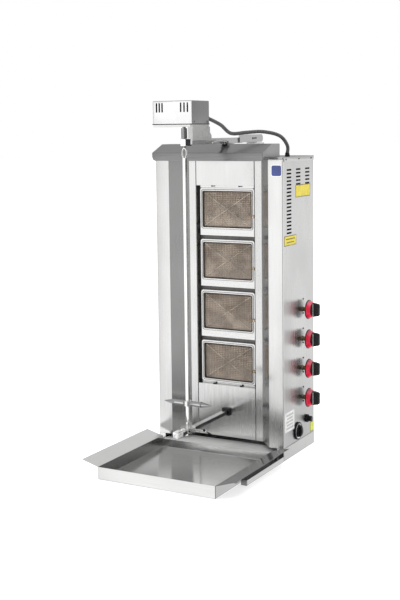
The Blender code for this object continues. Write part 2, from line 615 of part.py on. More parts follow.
def gear_motor():
    motor = box("gear_motor", (-0.0280, -0.2340, COVER_Z0 + GAP), (0.0340, -0.1500, 1.1120), CAST)
    bevel(motor, 0.0025)
    join(motor, cylinder("motor_can", (-0.0880, -0.1900, 1.1120), "X", 0.0700, 0.0290))
    cut(motor, cylinder("output_bore", (0.0, SKEWER_Y, 1.0), "Z", 0.1000, 0.0053))


def drive_and_skewer():
    """The drive shaft's slotted foot holds the eye at the top of the square skewer."""
    centre = (0.0, SKEWER_Y, 0.0)
    shaft = cylinder("drive_shaft", (0.0, SKEWER_Y, BEARING_Z0 - 0.0055), "Z", 0.0400, 0.0055, STEEL,
                     origin=centre)
    join(shaft, cylinder("shaft_sleeve", (0.0, SKEWER_Y, ARM_Z1 + GAP), "Z", 0.0315, 0.0090),
         cylinder("shaft_top", (0.0, SKEWER_Y, 1.0500), "Z", 0.0460, 0.0050))
    cut(shaft, box("eye_slot", (-0.02, SKEWER_Y - 0.0035, 0.9),
                   (0.02, SKEWER_Y + 0.0035, BEARING_Z0 + 0.0030)))

    half_w, half_h, wire = 0.0072, 0.0158, 0.0030
    curve = bpy.data.curves.new("skewer_eye", "CURVE")
    curve.dimensions = "3D"
    curve.bevel_depth = wire
    curve.bevel_resolution = 2
    spline = curve.splines.new("POLY")
    count = 28
    spline.points.add(count - 1)
    for i, point in enumerate(spline.points):
        angle = 2.0 * math.pi * i / count
        point.co = (half_w * math.cos(angle), SKEWER_Y, EYE_Z + half_h * math.sin(angle), 1.0)
    spline.use_cyclic_u = True
    guide = bpy.data.objects.new("skewer_eye", curve)
    parts.objects.link(guide)
    eye = add("skewer_eye", mesh_of(guide))
    half = SKEWER_SIDE / 2.0
    rod = box("skewer", (-half, SKEWER_Y - half, ROD_LOW_Z), (half, SKEWER_Y + half, ROD_TOP_Z), STEEL,
              origin=centre)
    bevel(rod, 0.0008, 1)
    foot = turned("skewer_foot", [(0.0, 0.0170), (0.0050, 0.0170), (0.0075, 0.0150), (0.0075, 0.0085),
                                  (0.0045, 0.0070), (0.0045, 0.0020), (0.0025, 0.0), (0.0, 0.0)],
                  "Z", (0.0, SKEWER_Y, 0.1405))
    join(rod, eye, foot)


def meat_spike():
    """A double pointed cross bar on the skewer that carries the meat."""
    centre = (0.0, SKEWER_Y, SPIKE_Z)
    profile = [(0.0, 0.0840), (0.0015, 0.0835), (0.0083, 0.0500), (0.0083, 0.0490), (0.0096, 0.0485),
               (0.0096, 0.0460), (0.0083, 0.0455)]
    profile += [(r, -h) for r, h in profile[::-1]]
    spike = turned("meat_spike", profile, "X", centre, STEEL, sides=20)
    hub = cylinder("spike_hub", (0.0, SKEWER_Y, SPIKE_Z - 0.0090), "Z", 0.0180, 0.0120)
    hole = SKEWER_SIDE / 2.0 + GAP
    join(spike, hub)
    cut(spike, box("spike_hole", (-hole, SKEWER_Y - hole, 0.1), (hole, SKEWER_Y + hole, 0.4)))


# ---- guides, locks and the lower arm ---------------------------------------------------------
def arm_guides():
    """Open saddles that the motor arm slides in, one on the hood and one on the lid."""
    left = ARM_X0 - GAP
    front = box("front_arm_guide", (left - 0.0045, -0.0280, HOOD_TOP_Z + GAP),
                (ARM_X1 + 0.0070, 0.0400, ARM_Z1), STEEL)
    cut(front,
        box("guide_way", (left, -0.1, ARM_Z0 - GAP), (ARM_X1 + 0.0006, 0.1, 1.1)),
        box("guide_right", (ARM_X1 - 0.01, -0.0080, ARM_Z0 - GAP), (0.1, 0.1, 1.1)),
        box("guide_lug_top", (ARM_X1, -0.1, LEVER_Z + 0.0065), (0.1, 0.1, 1.1)),
        box("guide_nose", (0.0, -0.1, 0.9), (0.1, -0.0213, HOOD_TOP_Z + 0.0010)),
        cylinder("lever_hole", (ARM_X1, LEVER_Y, LEVER_Z), "X", 0.02, 0.0033))
    rear = box("rear_arm_guide", (left - 0.0045, 0.1650, TOP_Z + GAP), (0.0560, 0.2350, ARM_Z1), STEEL)
    cut(rear,
        box("rear_way", (left, 0.1, ARM_Z0 - GAP), (0.1, 0.3, 1.1)),
        box("rear_hollow", (0.0260, 0.1, TOP_Z + 0.0020), (0.0542, 0.3, ARM_Z0 - 0.0027)))


def arm_lock_lever():
    centre = (ARM_X1 + 0.0070, LEVER_Y, LEVER_Z)
    screw = cylinder("arm_lock_lever", (ARM_X1 + 0.0012, LEVER_Y, LEVER_Z), "X", 0.0110, 0.0030, STEEL,
                     origin=centre)
    head_x = ARM_X1 + 0.0073
    join(screw, cylinder("lever_head", (head_x, LEVER_Y, LEVER_Z), "X", 0.0060, 0.0050))
    steps = range(13)
    wave = [(LEVER_Y - LEVER_LENGTH * k / 12, LEVER_Z + 0.0050 * math.sin(math.pi * k / 12)) for k in steps]
    outline = [(y, z - 0.0016) for y, z in wave] + [(y, z + 0.0016) for y, z in wave[::-1]]
    join(screw, plate("lever_handle", outline, "YZ", head_x + 0.0012, 0.0040))


def lower_arm():
    half = SUPPORT_W / 2.0
    arm = box("support_arm", (-half, SUPPORT_FRONT, SUPPORT_Z0), (half, SUPPORT_BACK, SUPPORT_Z1), STEEL)
    stop = box("arm_end_stop", (-half - 0.0005, SUPPORT_FRONT - 0.0200, SUPPORT_Z0 - 0.0007),
               (half + 0.0005, SUPPORT_FRONT + 0.0140, SUPPORT_Z1 + 0.0078))
    bevel(stop, 0.0012)
    join(arm, stop)
    collar = box("support_collar", (-0.0150, 0.0435, SUPPORT_Z0 - 0.0070),
                 (0.0150, CHANNEL_Y - GAP, SUPPORT_Z1 + 0.0070), DARK_STEEL)
    bevel(collar, 0.0015)
    hole = half + GAP
    cut(collar, box("collar_hole", (-hole, 0.0, SUPPORT_Z0 - GAP), (hole, 0.1, SUPPORT_Z1 + GAP)))

    block = box("pivot_carriage", (-0.0135, CARRIAGE_FRONT, SUPPORT_Z0 - 0.0045),
                (0.0135, CARRIAGE_BACK, SUPPORT_Z1 + 0.0040), STEEL)
    bevel(block, 0.0015)
    cup = (0.0, SKEWER_Y, SUPPORT_Z1 + 0.0030)
    join(block, cylinder("cup_disc", cup, "Z", 0.0030, 0.0230, sides=32),
         cylinder("cup_wall", cup, "Z", 0.0085, 0.0080))
    cut(block, box("carriage_way", (-hole, -0.3, SUPPORT_Z0 - GAP), (hole, 0.0, SUPPORT_Z1 + GAP)),
        cylinder("cup_bore", (0.0, SKEWER_Y, 0.1375), "Z", 0.05, 0.0049),
        cylinder("clamp_hole", (0.0080, CLAMP_Y, CLAMP_Z), "X", 0.05, 0.0033))


def clamp_screw():
    """The screw that locks the pivot carriage; its handle is a bar pushed through to one side."""
    centre = (0.0135, CLAMP_Y, CLAMP_Z)
    screw = cylinder("clamp_screw", (SUPPORT_W / 2.0 + 0.0005, CLAMP_Y, CLAMP_Z), "X", 0.0480, 0.0030,
                     STEEL, origin=centre)
    handle = turned("clamp_handle", [(0.0, 0.0670), (0.0035, 0.0650), (0.0035, 0.0610), (0.0024, 0.0590),
                                     (0.0024, -0.0070), (0.0035, -0.0090), (0.0035, -0.0120),
                                     (0.0, -0.0140)], "Z", (0.0, 0.0, 0.0), sides=12)
    lean = Matrix.Rotation(math.radians(-HANDLE_LEAN), 4, "X")
    handle.data.transform(Matrix.Translation((HANDLE_X, CLAMP_Y, CLAMP_Z)) @ lean)
    join(screw, cylinder("clamp_hub", (HANDLE_X - 0.0060, CLAMP_Y, CLAMP_Z), "X", 0.0115, 0.0048), handle)


# ---- conduit ---------------------------------------------------------------------------------
def conduit():
    """Flexible conduit from the motor cover, resting near the arm and ending in the lid."""
    curve = bpy.data.curves.new("conduit", "CURVE")
    curve.dimensions = "3D"
    curve.bevel_depth = CONDUIT_RADIUS
    curve.bevel_resolution = 2
    curve.resolution_u = 5
    curve.use_fill_caps = True
    x, y, z = CONDUIT_START
    knots = [(x, y - 0.0060, z), (x, y + 0.0060, z), (0.0560, -0.0900, 1.0760), (0.0800, -0.0560, 1.0490),
             (0.1100, -0.0100, 1.0510), (0.1450, 0.0410, 1.0525), (0.1790, 0.0910, 1.0390),
             (CONDUIT_END[0], CONDUIT_END[1], 1.0080), (CONDUIT_END[0], CONDUIT_END[1], 0.9780),
             (CONDUIT_END[0], CONDUIT_END[1], 0.9600)]
    spline = curve.splines.new("BEZIER")
    spline.bezier_points.add(len(knots) - 1)
    for point, place in zip(spline.bezier_points, knots):
        point.co = place
        point.handle_left_type = point.handle_right_type = "AUTO"
    guide = bpy.data.objects.new("conduit_path", curve)
    parts.objects.link(guide)
    mesh = mesh_of(guide)
    smooth(mesh)
    add("conduit", mesh, CONDUIT)


base()
rails()
tray()
side_panels()
back_panel()
lid()
front_sheets()
channel_panels()
burners()
gas_line()
spindles_and_knobs()
igniter()
motor_switch()
hood()
bearing_and_arm()
gearbox_bracket()
motor_cover()
gear_motor()
drive_and_skewer()
meat_spike()
arm_guides()
arm_lock_lever()
lower_arm()
clamp_screw()
conduit()
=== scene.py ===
"""Looks of an upright gas rotisserie grill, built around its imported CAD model.

Metres, +Z up, +X to the right of someone facing the grill, -Y to the front. Machined parts and flat
sheets keep their CAD shape and get fine edges and brushed finishes. Folded sheets, knobs, dial, burner
mesh, conduit, skewer, screws, labels and other small pieces are modelled here, in places from the CAD.
"""
import json
from math import atan, cos, pi, radians, sin, tan

import bmesh
import bpy
from mathutils import Matrix, Vector

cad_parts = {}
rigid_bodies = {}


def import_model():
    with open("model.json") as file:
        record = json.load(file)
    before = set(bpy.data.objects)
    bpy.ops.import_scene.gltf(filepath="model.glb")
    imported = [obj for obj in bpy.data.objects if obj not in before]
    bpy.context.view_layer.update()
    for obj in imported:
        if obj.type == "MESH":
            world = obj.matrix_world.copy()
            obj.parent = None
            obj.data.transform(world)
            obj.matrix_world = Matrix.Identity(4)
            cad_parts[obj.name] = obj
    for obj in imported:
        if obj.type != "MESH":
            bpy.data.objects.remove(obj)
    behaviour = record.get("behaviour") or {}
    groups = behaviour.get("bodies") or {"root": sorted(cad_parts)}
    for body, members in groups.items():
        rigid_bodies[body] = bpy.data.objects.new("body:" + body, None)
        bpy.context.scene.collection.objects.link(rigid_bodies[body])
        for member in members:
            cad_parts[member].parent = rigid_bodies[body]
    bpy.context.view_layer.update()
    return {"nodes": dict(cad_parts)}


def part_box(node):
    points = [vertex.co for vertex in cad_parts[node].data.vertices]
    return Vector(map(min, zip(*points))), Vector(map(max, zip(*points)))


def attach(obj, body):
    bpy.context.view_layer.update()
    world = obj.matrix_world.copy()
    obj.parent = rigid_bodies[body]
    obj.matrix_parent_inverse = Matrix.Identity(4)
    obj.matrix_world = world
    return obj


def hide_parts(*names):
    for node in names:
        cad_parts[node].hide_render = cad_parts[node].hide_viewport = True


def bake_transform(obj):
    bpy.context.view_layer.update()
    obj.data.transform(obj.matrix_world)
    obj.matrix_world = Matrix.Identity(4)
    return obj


for old in list(bpy.data.objects):
    bpy.data.objects.remove(old, do_unlink=True)
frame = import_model()
nodes = frame["nodes"]
scene = bpy.context.scene

BRIGHT, DARK, BLACK, KNOB = "stainless_bright", "steel_dark", "black_plastic", "knob_plastic"   # slots
BURNER_NUMBERS = range(1, 5)
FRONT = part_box("right_reflector")[0].y          # plane of the cabinet's front
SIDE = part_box("right_side_panel")[1].x          # outer face of the right side panel


def middle(node):
    low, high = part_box(node)
    return (low + high) / 2.0


# ---- materials ----
def feed(tree, node, values):
    """Set a node's inputs, each to a plain value or to what another node gives."""
    for key, value in values.items():
        if isinstance(value, bpy.types.NodeSocket):
            tree.links.new(value, node.inputs[key])
        else:
            node.inputs[key].default_value = value


def added(tree, kind, values, output=0, **settings):
    """A new shader node with its inputs fed; returns one of its outputs, or the node for None."""
    node = tree.nodes.new("ShaderNode" + kind)
    for key, value in settings.items():
        setattr(node, key, value)
    feed(tree, node, values)
    return node if output is None else node.outputs[output]


def material(name, colour, roughness, metallic=0.0):
    """A new Principled material; returns it with its node tree and shader."""
    mat = bpy.data.materials.new(name)
    mat.use_nodes = True
    shader = mat.node_tree.nodes["Principled BSDF"]
    feed(mat.node_tree, shader, {"Base Color": (*colour, 1.0), "Roughness": roughness,
                                 "Metallic": metallic})
    return mat, mat.node_tree, shader


def noise(tree, scale, detail=3.0, kind="TexNoise", output="Fac"):
    """Noise in object space; scale is the number of features per metre along each axis."""
    place = added(tree, "TexCoord", {}, "Object")
    place = added(tree, "Mapping", {"Vector": place, "Scale": scale})
    return added(tree, kind, {"Vector": place, "Scale": 1.0, "Detail": detail}, output)


def remap(tree, value, low, high, start=0.35, end=0.65):
    """A value that goes from low to high while the noise goes from start to end."""
    return added(tree, "MapRange", {"Value": value, "From Min": start, "From Max": end,
                                    "To Min": low, "To Max": high})


def total(tree, first, second):
    return added(tree, "Math", {0: first, 1: second})


def ramp(tree, value, stops, interpolation="LINEAR"):
    """A colour that follows a value through (value, colour) stops."""
    node = added(tree, "ValToRGB", {"Fac": value}, None)
    node.color_ramp.interpolation = interpolation
    elements = node.color_ramp.elements
    while len(elements) < len(stops):
        elements.new(0.5)
    for element, (position, colour) in zip(elements, stops):
        element.position = position
        element.color = (*colour, 1.0)
    return node.outputs["Color"]


def uneven(tree, value, tone, spread):
    """A colour that goes from a little darker to a little lighter than its tone."""
    return ramp(tree, value, ((0.35, shade(tone, 1.0 - spread)), (0.65, shade(tone, 1.0 + spread))))


def mixed(tree, factor, first, second, **settings):
    """Two colours mixed."""
    return added(tree, "Mix", {"Factor": factor, "A": first, "B": second}, "Result", data_type="RGBA",
                 **settings)


def bump(tree, height, strength, depth):
    return added(tree, "Bump", {"Height": height, "Strength": strength, "Distance": depth})


def shade(colour, factor):
    return tuple(channel * factor for channel in colour)


GRAIN = {"X": (9.0, 700.0, 700.0), "Y": (700.0, 9.0, 700.0), "Z": (700.0, 700.0, 9.0)}
ALONG = {"X": (1.0, 0.0, 0.0), "Y": (0.0, 1.0, 0.0), "Z": (0.0, 0.0, 1.0)}
SECOND = {"X": "Y", "Y": "X", "Z": "Y"}          # the grain on faces that look along the first


def facing(tree, axis):
    """The surface's normal, and how far it points along an axis."""
    normal = added(tree, "NewGeometry", {}, "Normal")
    return normal, added(tree, "VectorMath", {0: normal, 1: axis}, "Value", operation="DOT_PRODUCT")


def highlight_direction(tree, grain):
    """A direction in the surface square to the grain, and 0 on faces that look along the grain."""
    normal, part = facing(tree, ALONG[grain])
    size = added(tree, "Math", {0: part}, operation="ABSOLUTE")
    along = added(tree, "Mix", {"Factor": remap(tree, size, 0.0, 1.0, 0.75, 0.8), "A": ALONG[grain],
                                "B": ALONG[SECOND[grain]]}, "Result", data_type="VECTOR")
    across = added(tree, "VectorMath", {0: along, 1: normal}, operation="CROSS_PRODUCT")
    return across, remap(tree, size, 1.0, 0.0, 0.75, 0.8)


def steel(name, tone, roughness, grain, streak=0.05, relief=0.04, stretch=0.75):
    """Brushed stainless: fine streaks along the grain, soft cloudy wear in the gloss, and highlights
    that spread across the grain."""
    mat, tree, shader = material(name, tone, roughness, 1.0)
    across, shown = highlight_direction(tree, grain)
    lines = noise(tree, GRAIN[grain], 4.0)
    lines = added(tree, "Mix", {"Factor": shown, "A": 0.5, "B": lines}, "Result")
    clouds = noise(tree, (7.0, 7.0, 4.0), 4.0)
    feed(tree, shader, {
        "Anisotropic": stretch, "Tangent": across, "Base Color": uneven(tree, lines, tone, streak),
        "Roughness": total(tree, remap(tree, lines, -0.03, 0.03),
                           remap(tree, clouds, roughness - 0.03, roughness + 0.05)),
        "Normal": bump(tree, lines, relief, 0.0002)})
    return mat


def paint_light_on_faces(mat, axis, painted_factors):
    """Painted light or shade: multiply a material's colour on the faces that look along an axis."""
    tree = mat.node_tree
    shader = tree.nodes["Principled BSDF"]
    shown = shader.inputs["Base Color"].links[0].from_socket
    painted_mask = remap(tree, facing(tree, axis)[1], 0.0, 1.0, 0.6, 0.85)
    feed(tree, shader, {"Base Color": mixed(tree, painted_mask, shown, (*painted_factors, 1.0), blend_type="MULTIPLY")})
    return mat


def mottled(name, tone, roughness, metallic=0.0, spread=0.2, scale=160.0, relief=0.15, depth=0.0003):
    """An even material with fine relief and slightly uneven colour and gloss."""
    mat, tree, shader = material(name, tone, roughness, metallic)
    clouds = noise(tree, (scale / 9.0,) * 3)
    feed(tree, shader, {
        "Base Color": uneven(tree, clouds, tone, spread),
        "Roughness": remap(tree, clouds, roughness - 0.05, roughness + 0.08),
        "Normal": bump(tree, noise(tree, (scale,) * 3, 4.0), relief, depth)})
    return mat


def printed(name, tone, roughness=0.45, spread=0.12, scale=500.0):
    """A smooth coat of paint, print or enamel."""
    return mottled(name, tone, roughness, 0.0, spread, scale, 0.05, 0.0001)


def tuned(mat, values):
    """A material with some of its shader's values changed."""
    feed(mat.node_tree, mat.node_tree.nodes["Principled BSDF"], values)
    return mat


def plastic(name, tone, roughness):
    """Moulded plastic with a weak sheen on top."""
    return tuned(mottled(name, tone, roughness, 0.0, 0.25, 700.0, 0.1, 0.0001),
                 {"Specular IOR Level": 0.28})


LEFT_TO_RIGHT, UPWARDS, TO_THE_FRONT = (1.0, 0.0, 0.0), (0.0, 0.0, 1.0), (0.0, -1.0, 0.0)
PALE, WHITE = (0.64, 0.64, 0.635), (0.92, 0.92, 0.91)
MID, GREY = (0.5,) * 3, (0.36,) * 3
upright_steel = steel("steel_upright_grain", PALE, 0.2, "Z")
panel_steel = steel("steel_side_panel", PALE, 0.28, "Z", 0.03, 0.02)
level_steel = steel("steel_level_grain", PALE, 0.2, "X")
# The hood's front-facing fascia is painted darker: painted shade.
hood_steel = paint_light_on_faces(steel("steel_hood", GREY, 0.32, "X", 0.12, 0.08), TO_THE_FRONT, (0.66,) * 3)
bar_steel = steel("steel_bar", MID, 0.28, "Y")
ground_steel = steel("steel_ground", (0.9, 0.9, 0.89), 0.14, "Z", 0.03, 0.03, 0.3)
tray_steel = steel("steel_tray", (0.62, 0.62, 0.615), 0.14, "X", 0.04, 0.02)
# Dark steel for the right tray flap, nearly white steel for the left: painted shade and painted highlight on
# twin flaps.
flap_steel = tuned(steel("steel_tray_flap", (0.31,) * 3, 0.1, "Y", 0.1, 0.02, 0.2),
                   {"Specular Tint": (0.52, 0.52, 0.52, 1.0)})
ledge_steel = tuned(steel("steel_ledge", WHITE, 0.42, "X", 0.06, 0.03), {"Metallic": 0.6})
# The rails' upward faces are painted nearly black: painted shade on their tops.
rail_steel = paint_light_on_faces(steel("steel_rail", PALE, 0.22, "Y"), UPWARDS, (0.1,) * 3)
# The support arm's right face is painted much darker: painted shade.
arm_steel = paint_light_on_faces(steel("steel_arm", PALE, 0.22, "Y"), LEFT_TO_RIGHT, (0.26,) * 3)
spike_steel = steel("steel_spike", MID, 0.14, "X", 0.03, 0.03, 0.3)
bright_flap = steel("steel_bright_flap", WHITE, 0.22, "Y", 0.03, 0.02)
cover_steel = steel("steel_motor_cover", (0.86,) * 3, 0.26, "Z", 0.04, 0.03)
# The motor cover's right face and top are painted darker: painted shade.
paint_light_on_faces(cover_steel, LEFT_TO_RIGHT, (0.44,) * 3)
paint_light_on_faces(cover_steel, UPWARDS, (0.4,) * 3)
shaft_steel = steel("steel_drive_shaft", (0.4,) * 3, 0.16, "Z", 0.04, 0.03, 0.3)
dull_steel = steel("steel_dulled", (0.3, 0.29, 0.28), 0.42, "X", 0.15)
# Near-black steel: painted shade in the channel behind the burners and inside the motor cover.
shade_black_steel = steel("steel_painted_shade", (0.15, 0.145, 0.14), 0.4, "Z", 0.25)
cast_metal = mottled("cast_aluminium", (0.62, 0.62, 0.61), 0.42, 1.0, 0.1, 900.0, 0.55, 0.0006)
brass = mottled("brass", (0.4, 0.26, 0.1), 0.32, 1.0, 0.25, 300.0, 0.1)
black_plastic = plastic("black_plastic", (0.009, 0.009, 0.011), 0.28)
red_plastic = mottled("red_plastic", (0.68, 0.007, 0.045), 0.22, 0.0, 0.1, 500.0, 0.06, 0.0001)
# The red rings' upper side is painted paler and pinker: a painted highlight.
paint_light_on_faces(red_plastic, (0.4, 0.0, 0.92), (1.15, 20.0, 4.6))    # the rings' upper side is paler
cap_plastic = plastic("pale_cap", (0.74, 0.74, 0.73), 0.4)
rail_cap = mottled("grey_plastic", (0.27, 0.27, 0.275), 0.4, 0.0, 0.2, 600.0)
black_screw = mottled("blackened_screw", (0.02, 0.02, 0.021), 0.38, 0.4, 0.2, 900.0)
conduit_sheath = mottled("conduit_sheath", (0.115, 0.115, 0.12), 0.42, 0.3, 0.15, 500.0)
silver = steel("satin_silver", (0.78,) * 3, 0.2, "Z", 0.03)
wire_metal = mottled("scorched_wire", (0.5, 0.43, 0.355), 0.5, 0.35, 0.35, 260.0)
# A paler copy of the scorched wire: painted highlight on the mesh's creases.
crease_highlight_metal = mottled("crease_painted_highlight", (0.6, 0.54, 0.47), 0.45, 0.3, 0.35, 260.0)
# Near-black backing: painted shade in the slot round each burner's mesh.
slot_shade_backing = mottled("slot_painted_shade", (0.03, 0.026, 0.022), 0.85, 0.0, 0.3, 400.0, 0.4)
trim_grey = printed("pale_grey_trim", (0.36, 0.39, 0.35), 0.35, 0.1)
yellow_print = printed("yellow_label", (0.7, 0.58, 0.05))
olive_print = printed("label_border", (0.16, 0.13, 0.02), spread=0.15)
white_print = printed("white_label", (0.8, 0.8, 0.79), 0.4, 0.08)
pale_print = printed("pale_label_bars", MID, spread=0.1)
green_print = printed("green_sticker", (0.74, 0.8, 0.06), 0.42, scale=400.0)
blue_enamel = printed("blue_enamel", (0.045, 0.07, 0.26), 0.22, 0.2, 300.0)


def ceramic():
    """Fired plaque: many small burner holes, paler towards the bottom."""
    mat, tree, shader = material("fired_ceramic", (0.24, 0.19, 0.145), 0.85)
    place = added(tree, "TexCoord", {}, "Generated")
    height = total(tree, added(tree, "SeparateXYZ", {"Vector": place}, "Z"),
                   remap(tree, noise(tree, (18.0, 18.0, 26.0), 4.0), -0.3, 0.3))
    holes = noise(tree, (620.0,) * 3, 0.0, "TexVoronoi", "Distance")
    colour = ramp(tree, height, ((0.0, (0.44, 0.375, 0.325)), (1.0, (0.215, 0.165, 0.13))))
    feed(tree, shader, {"Base Color": colour, "Normal": bump(tree, holes, 0.6, 0.0008)})
    return mat


fired_ceramic = ceramic()


# ---- mesh helpers ----
TURN = {"X": Matrix.Rotation(radians(90.0), 4, "Y"),
        "-X": Matrix.Rotation(radians(-90.0), 4, "Y"),
        "Y": Matrix.Rotation(radians(-90.0), 4, "X"),
        "-Y": Matrix.Rotation(radians(90.0), 4, "X"),
        "Z": Matrix.Identity(4),
        "-Z": Matrix.Rotation(pi, 4, "X")}
SIDE_VIEW = Matrix(((0, 0, 1, 0), (1, 0, 0, 0), (0, 1, 0, 0), (0, 0, 0, 1)))     # outline is (Y, Z)
FRONT_VIEW = Matrix(((1, 0, 0, 0), (0, 0, 1, 0), (0, 1, 0, 0), (0, 0, 0, 1)))    # outline is (X, Z)


def placed(point, axis="Z"):
    """A matrix that puts local Z along an axis, starting at a point."""
    return Matrix.Translation(point) @ TURN[axis]


def as_object(name, bm):
    """A closed bmesh as a new object in the scene."""
    bmesh.ops.recalc_face_normals(bm, faces=bm.faces)
    mesh = bpy.data.meshes.new(name)
    bm.to_mesh(mesh)
    bm.free()
    obj = bpy.data.objects.new(name, mesh)
    scene.collection.objects.link(obj)
    return obj


def piece(name, bm, mat, body="cabinet", stands_for=(), angle=38.0):
    """Turn a bmesh into a shown piece that rides on a body; stands_for names the CAD nodes it hides."""
    obj = as_object(name, bm)
    obj.data.materials.append(mat)
    obj.data.shade_smooth()
    obj.data.set_sharp_from_angle(angle=radians(angle))
    if body:
        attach(obj, body)
    if stands_for:
        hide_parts(*stands_for)
    return obj


def round_edges(obj, width, angle, **settings):
    """Round the edges of a piece that turn by more than an angle."""
    edge = obj.modifiers.new("edges", "BEVEL")
    for key, value in {"width": width, "segments": 2, "limit_method": "ANGLE",
                       "angle_limit": radians(angle), **settings}.items():
        setattr(edge, key, value)


def soften(obj, width):
    """Weld a carried mesh, clear its flat triangles and round its edges, all as modifiers."""
    obj.modifiers.new("weld", "WELD").merge_threshold = 0.000005
    flat = obj.modifiers.new("flat", "DECIMATE")
    flat.decimate_type = "DISSOLVE"
    flat.angle_limit = radians(0.5)
    round_edges(obj, width, 30.0, harden_normals=True)


def skin(bm, loops, closed=False):
    """Faces between each loop of vertices and the next; a loop of one vertex makes a cone."""
    for a, b in zip(loops, loops[1:] + loops[:1] if closed else loops[1:]):
        count = max(len(a), len(b))
        for i in range(count):
            j = (i + 1) % count
            corners = (a[i % len(a)], a[j % len(a)], b[j % len(b)], b[i % len(b)])
            bm.faces.new(list(dict.fromkeys(corners)))


def cap(bm, loops):
    bm.faces.new(loops[0][::-1])
    bm.faces.new(loops[-1])


def lathe(bm, profile, place, sides=48, cross=None, closed=False):
    """A solid of revolution about local Z; profile runs (radius, height) from axis to axis.
    cross(angle, ring) may change a ring's radius, for a hexagon."""
    rings = []
    for k, (radius, height) in enumerate(profile):
        ring = []
        for i in range(sides if radius else 1):
            angle = 2.0 * pi * i / sides
            r = radius * (cross(angle, k) if cross else 1.0)
            ring.append(bm.verts.new(place @ Vector((r * cos(angle), r * sin(angle), height))))
        rings.append(ring)
    skin(bm, rings, closed)


def hoop(bm, profile, place, sides):
    """A closed ring: profile is a closed loop of (radius, height) clear of the axis."""
    lathe(bm, profile, place, sides, closed=True)


def hexagon(angle):
    """How far a hexagon's edge is from its middle, against its corners."""
    return cos(pi / 6.0) / cos((angle % (pi / 3.0)) - pi / 6.0)


def box(bm, low, high):
    """A sharp box between two corners; returns its vertices."""
    low, high = Vector(low), Vector(high)
    size = Matrix.Diagonal((*(high - low), 1.0))
    return bmesh.ops.create_cube(bm, size=1.0, matrix=Matrix.Translation((low + high) / 2.0) @ size)["verts"]


def block(bm, low, high, radius=0.0008, segments=2, place=None):
    """A box between two corners with rounded edges."""
    made = box(bm, low, high)
    edges = list({edge for vert in made for edge in vert.link_edges})
    faces = list({face for vert in made for face in vert.link_faces})
    faces += bmesh.ops.bevel(bm, geom=edges, offset=radius, segments=segments, profile=0.5,
                             affect="EDGES", clamp_overlap=True)["faces"]
    if place:
        verts = {vert for face in faces if face.is_valid for vert in face.verts}
        bmesh.ops.transform(bm, verts=list(verts), matrix=place)


def prism(bm, outline, place, depth):
    """A flat closed outline in local XY, thickened along local Z."""
    rings = [[bm.verts.new(place @ Vector((u, v, height))) for u, v in outline] for height in (0.0, depth)]
    cap(bm, rings)
    skin(bm, rings)


def rounded(width, height, radius, steps=5, centre=(0.0, 0.0)):
    """The outline of a rectangle with round corners."""
    points = []
    for corner, (sx, sy) in enumerate(((1, 1), (-1, 1), (-1, -1), (1, -1))):
        x, y = centre[0] + sx * (width / 2.0 - radius), centre[1] + sy * (height / 2.0 - radius)
        for k in range(steps + 1):
            angle = radians(90.0 * (corner + k / steps))
            points.append((x + radius * cos(angle), y + radius * sin(angle)))
    return points


def tube(bm, points, radii, sides=12, closed=False):
    """A round tube along points; radii is one number or one for each point."""
    points = [Vector(p) for p in points]
    count = len(points)
    if isinstance(radii, float):
        radii = [radii] * count
    normal, rings, last = None, [], None
    for i, point in enumerate(points):
        before = points[i - 1] if i or closed else point
        after = points[(i + 1) % count] if i < count - 1 or closed else point
        along = (after - before).normalized()
        if normal is None:
            normal = along.orthogonal().normalized()
        else:
            normal = (last.rotation_difference(along) @ normal).normalized()
        last = along
        side = along.cross(normal)
        angles = [2.0 * pi * k / sides for k in range(sides)]
        rings.append([bm.verts.new(point + radii[i] * (cos(a) * normal + sin(a) * side))
                      for a in angles])
    skin(bm, rings, closed)
    if not closed:
        cap(bm, rings)


def new(shape, *values):
    """A new bmesh with one shape in it, made by a mesh helper."""
    bm = bmesh.new()
    shape(bm, *values)
    return bm


def screws(name, body, places, radius, mat=black_screw, height=None):
    """Pan-head screws with a hexagon socket; places are (point, axis)."""
    height = height or radius * 0.62
    profile = [(0.0, 0.0), (radius, 0.0), (radius, height * 0.45), (radius * 0.86, height * 0.86),
               (radius * 0.62, height), (radius * 0.46, height), (radius * 0.44, height * 0.35),
               (0.0, height * 0.3)]
    socket = (5, 6)
    bm = bmesh.new()
    for point, axis in places:
        lathe(bm, profile, placed(point, axis), 24, lambda a, k: hexagon(a) if k in socket else 1.0)
    return piece(name, bm, mat, body)


# ---- sheet metal that keeps its CAD shape ----
FINE_EDGE, CAST_EDGE = 0.0004, 0.001


def each_burner(*names):
    return ["%s_%d" % (name, n) for name in names for n in BURNER_NUMBERS]


CARRIED = (
    (upright_steel, FINE_EDGE, ["upper_panel", "lower_panel", "back_panel"]),
    # The burner carrier is painted near-black: painted shade in the channel between the burners.
    (shade_black_steel, FINE_EDGE, ["burner_carrier"]),
    (level_steel, FINE_EDGE, ["motor_base", "front_arm_guide", "rear_arm_guide"]),
    (shaft_steel, FINE_EDGE, ["drive_shaft"]),
    (level_steel, FINE_EDGE, each_burner("burner_frame")),
    (bar_steel, FINE_EDGE, ["motor_arm"]),
    (arm_steel, FINE_EDGE, ["support_arm"]),
    (rail_steel, FINE_EDGE, ["left_rail", "right_rail"]),
    (ground_steel, FINE_EDGE, ["bearing_block", "pivot_carriage"]),
    (black_screw, FINE_EDGE, ["support_collar"]),
    (dull_steel, FINE_EDGE, each_burner("burner_box")),
    (cast_metal, CAST_EDGE, ["gearbox_bracket"]),
    # The gear motor is painted near-black so the cover's slots look dark: painted shade inside the cover.
    (shade_black_steel, CAST_EDGE, ["gear_motor"]),
    (brass, FINE_EDGE, ["gas_manifold"] + each_burner("gas_valve", "gas_spindle")),
)


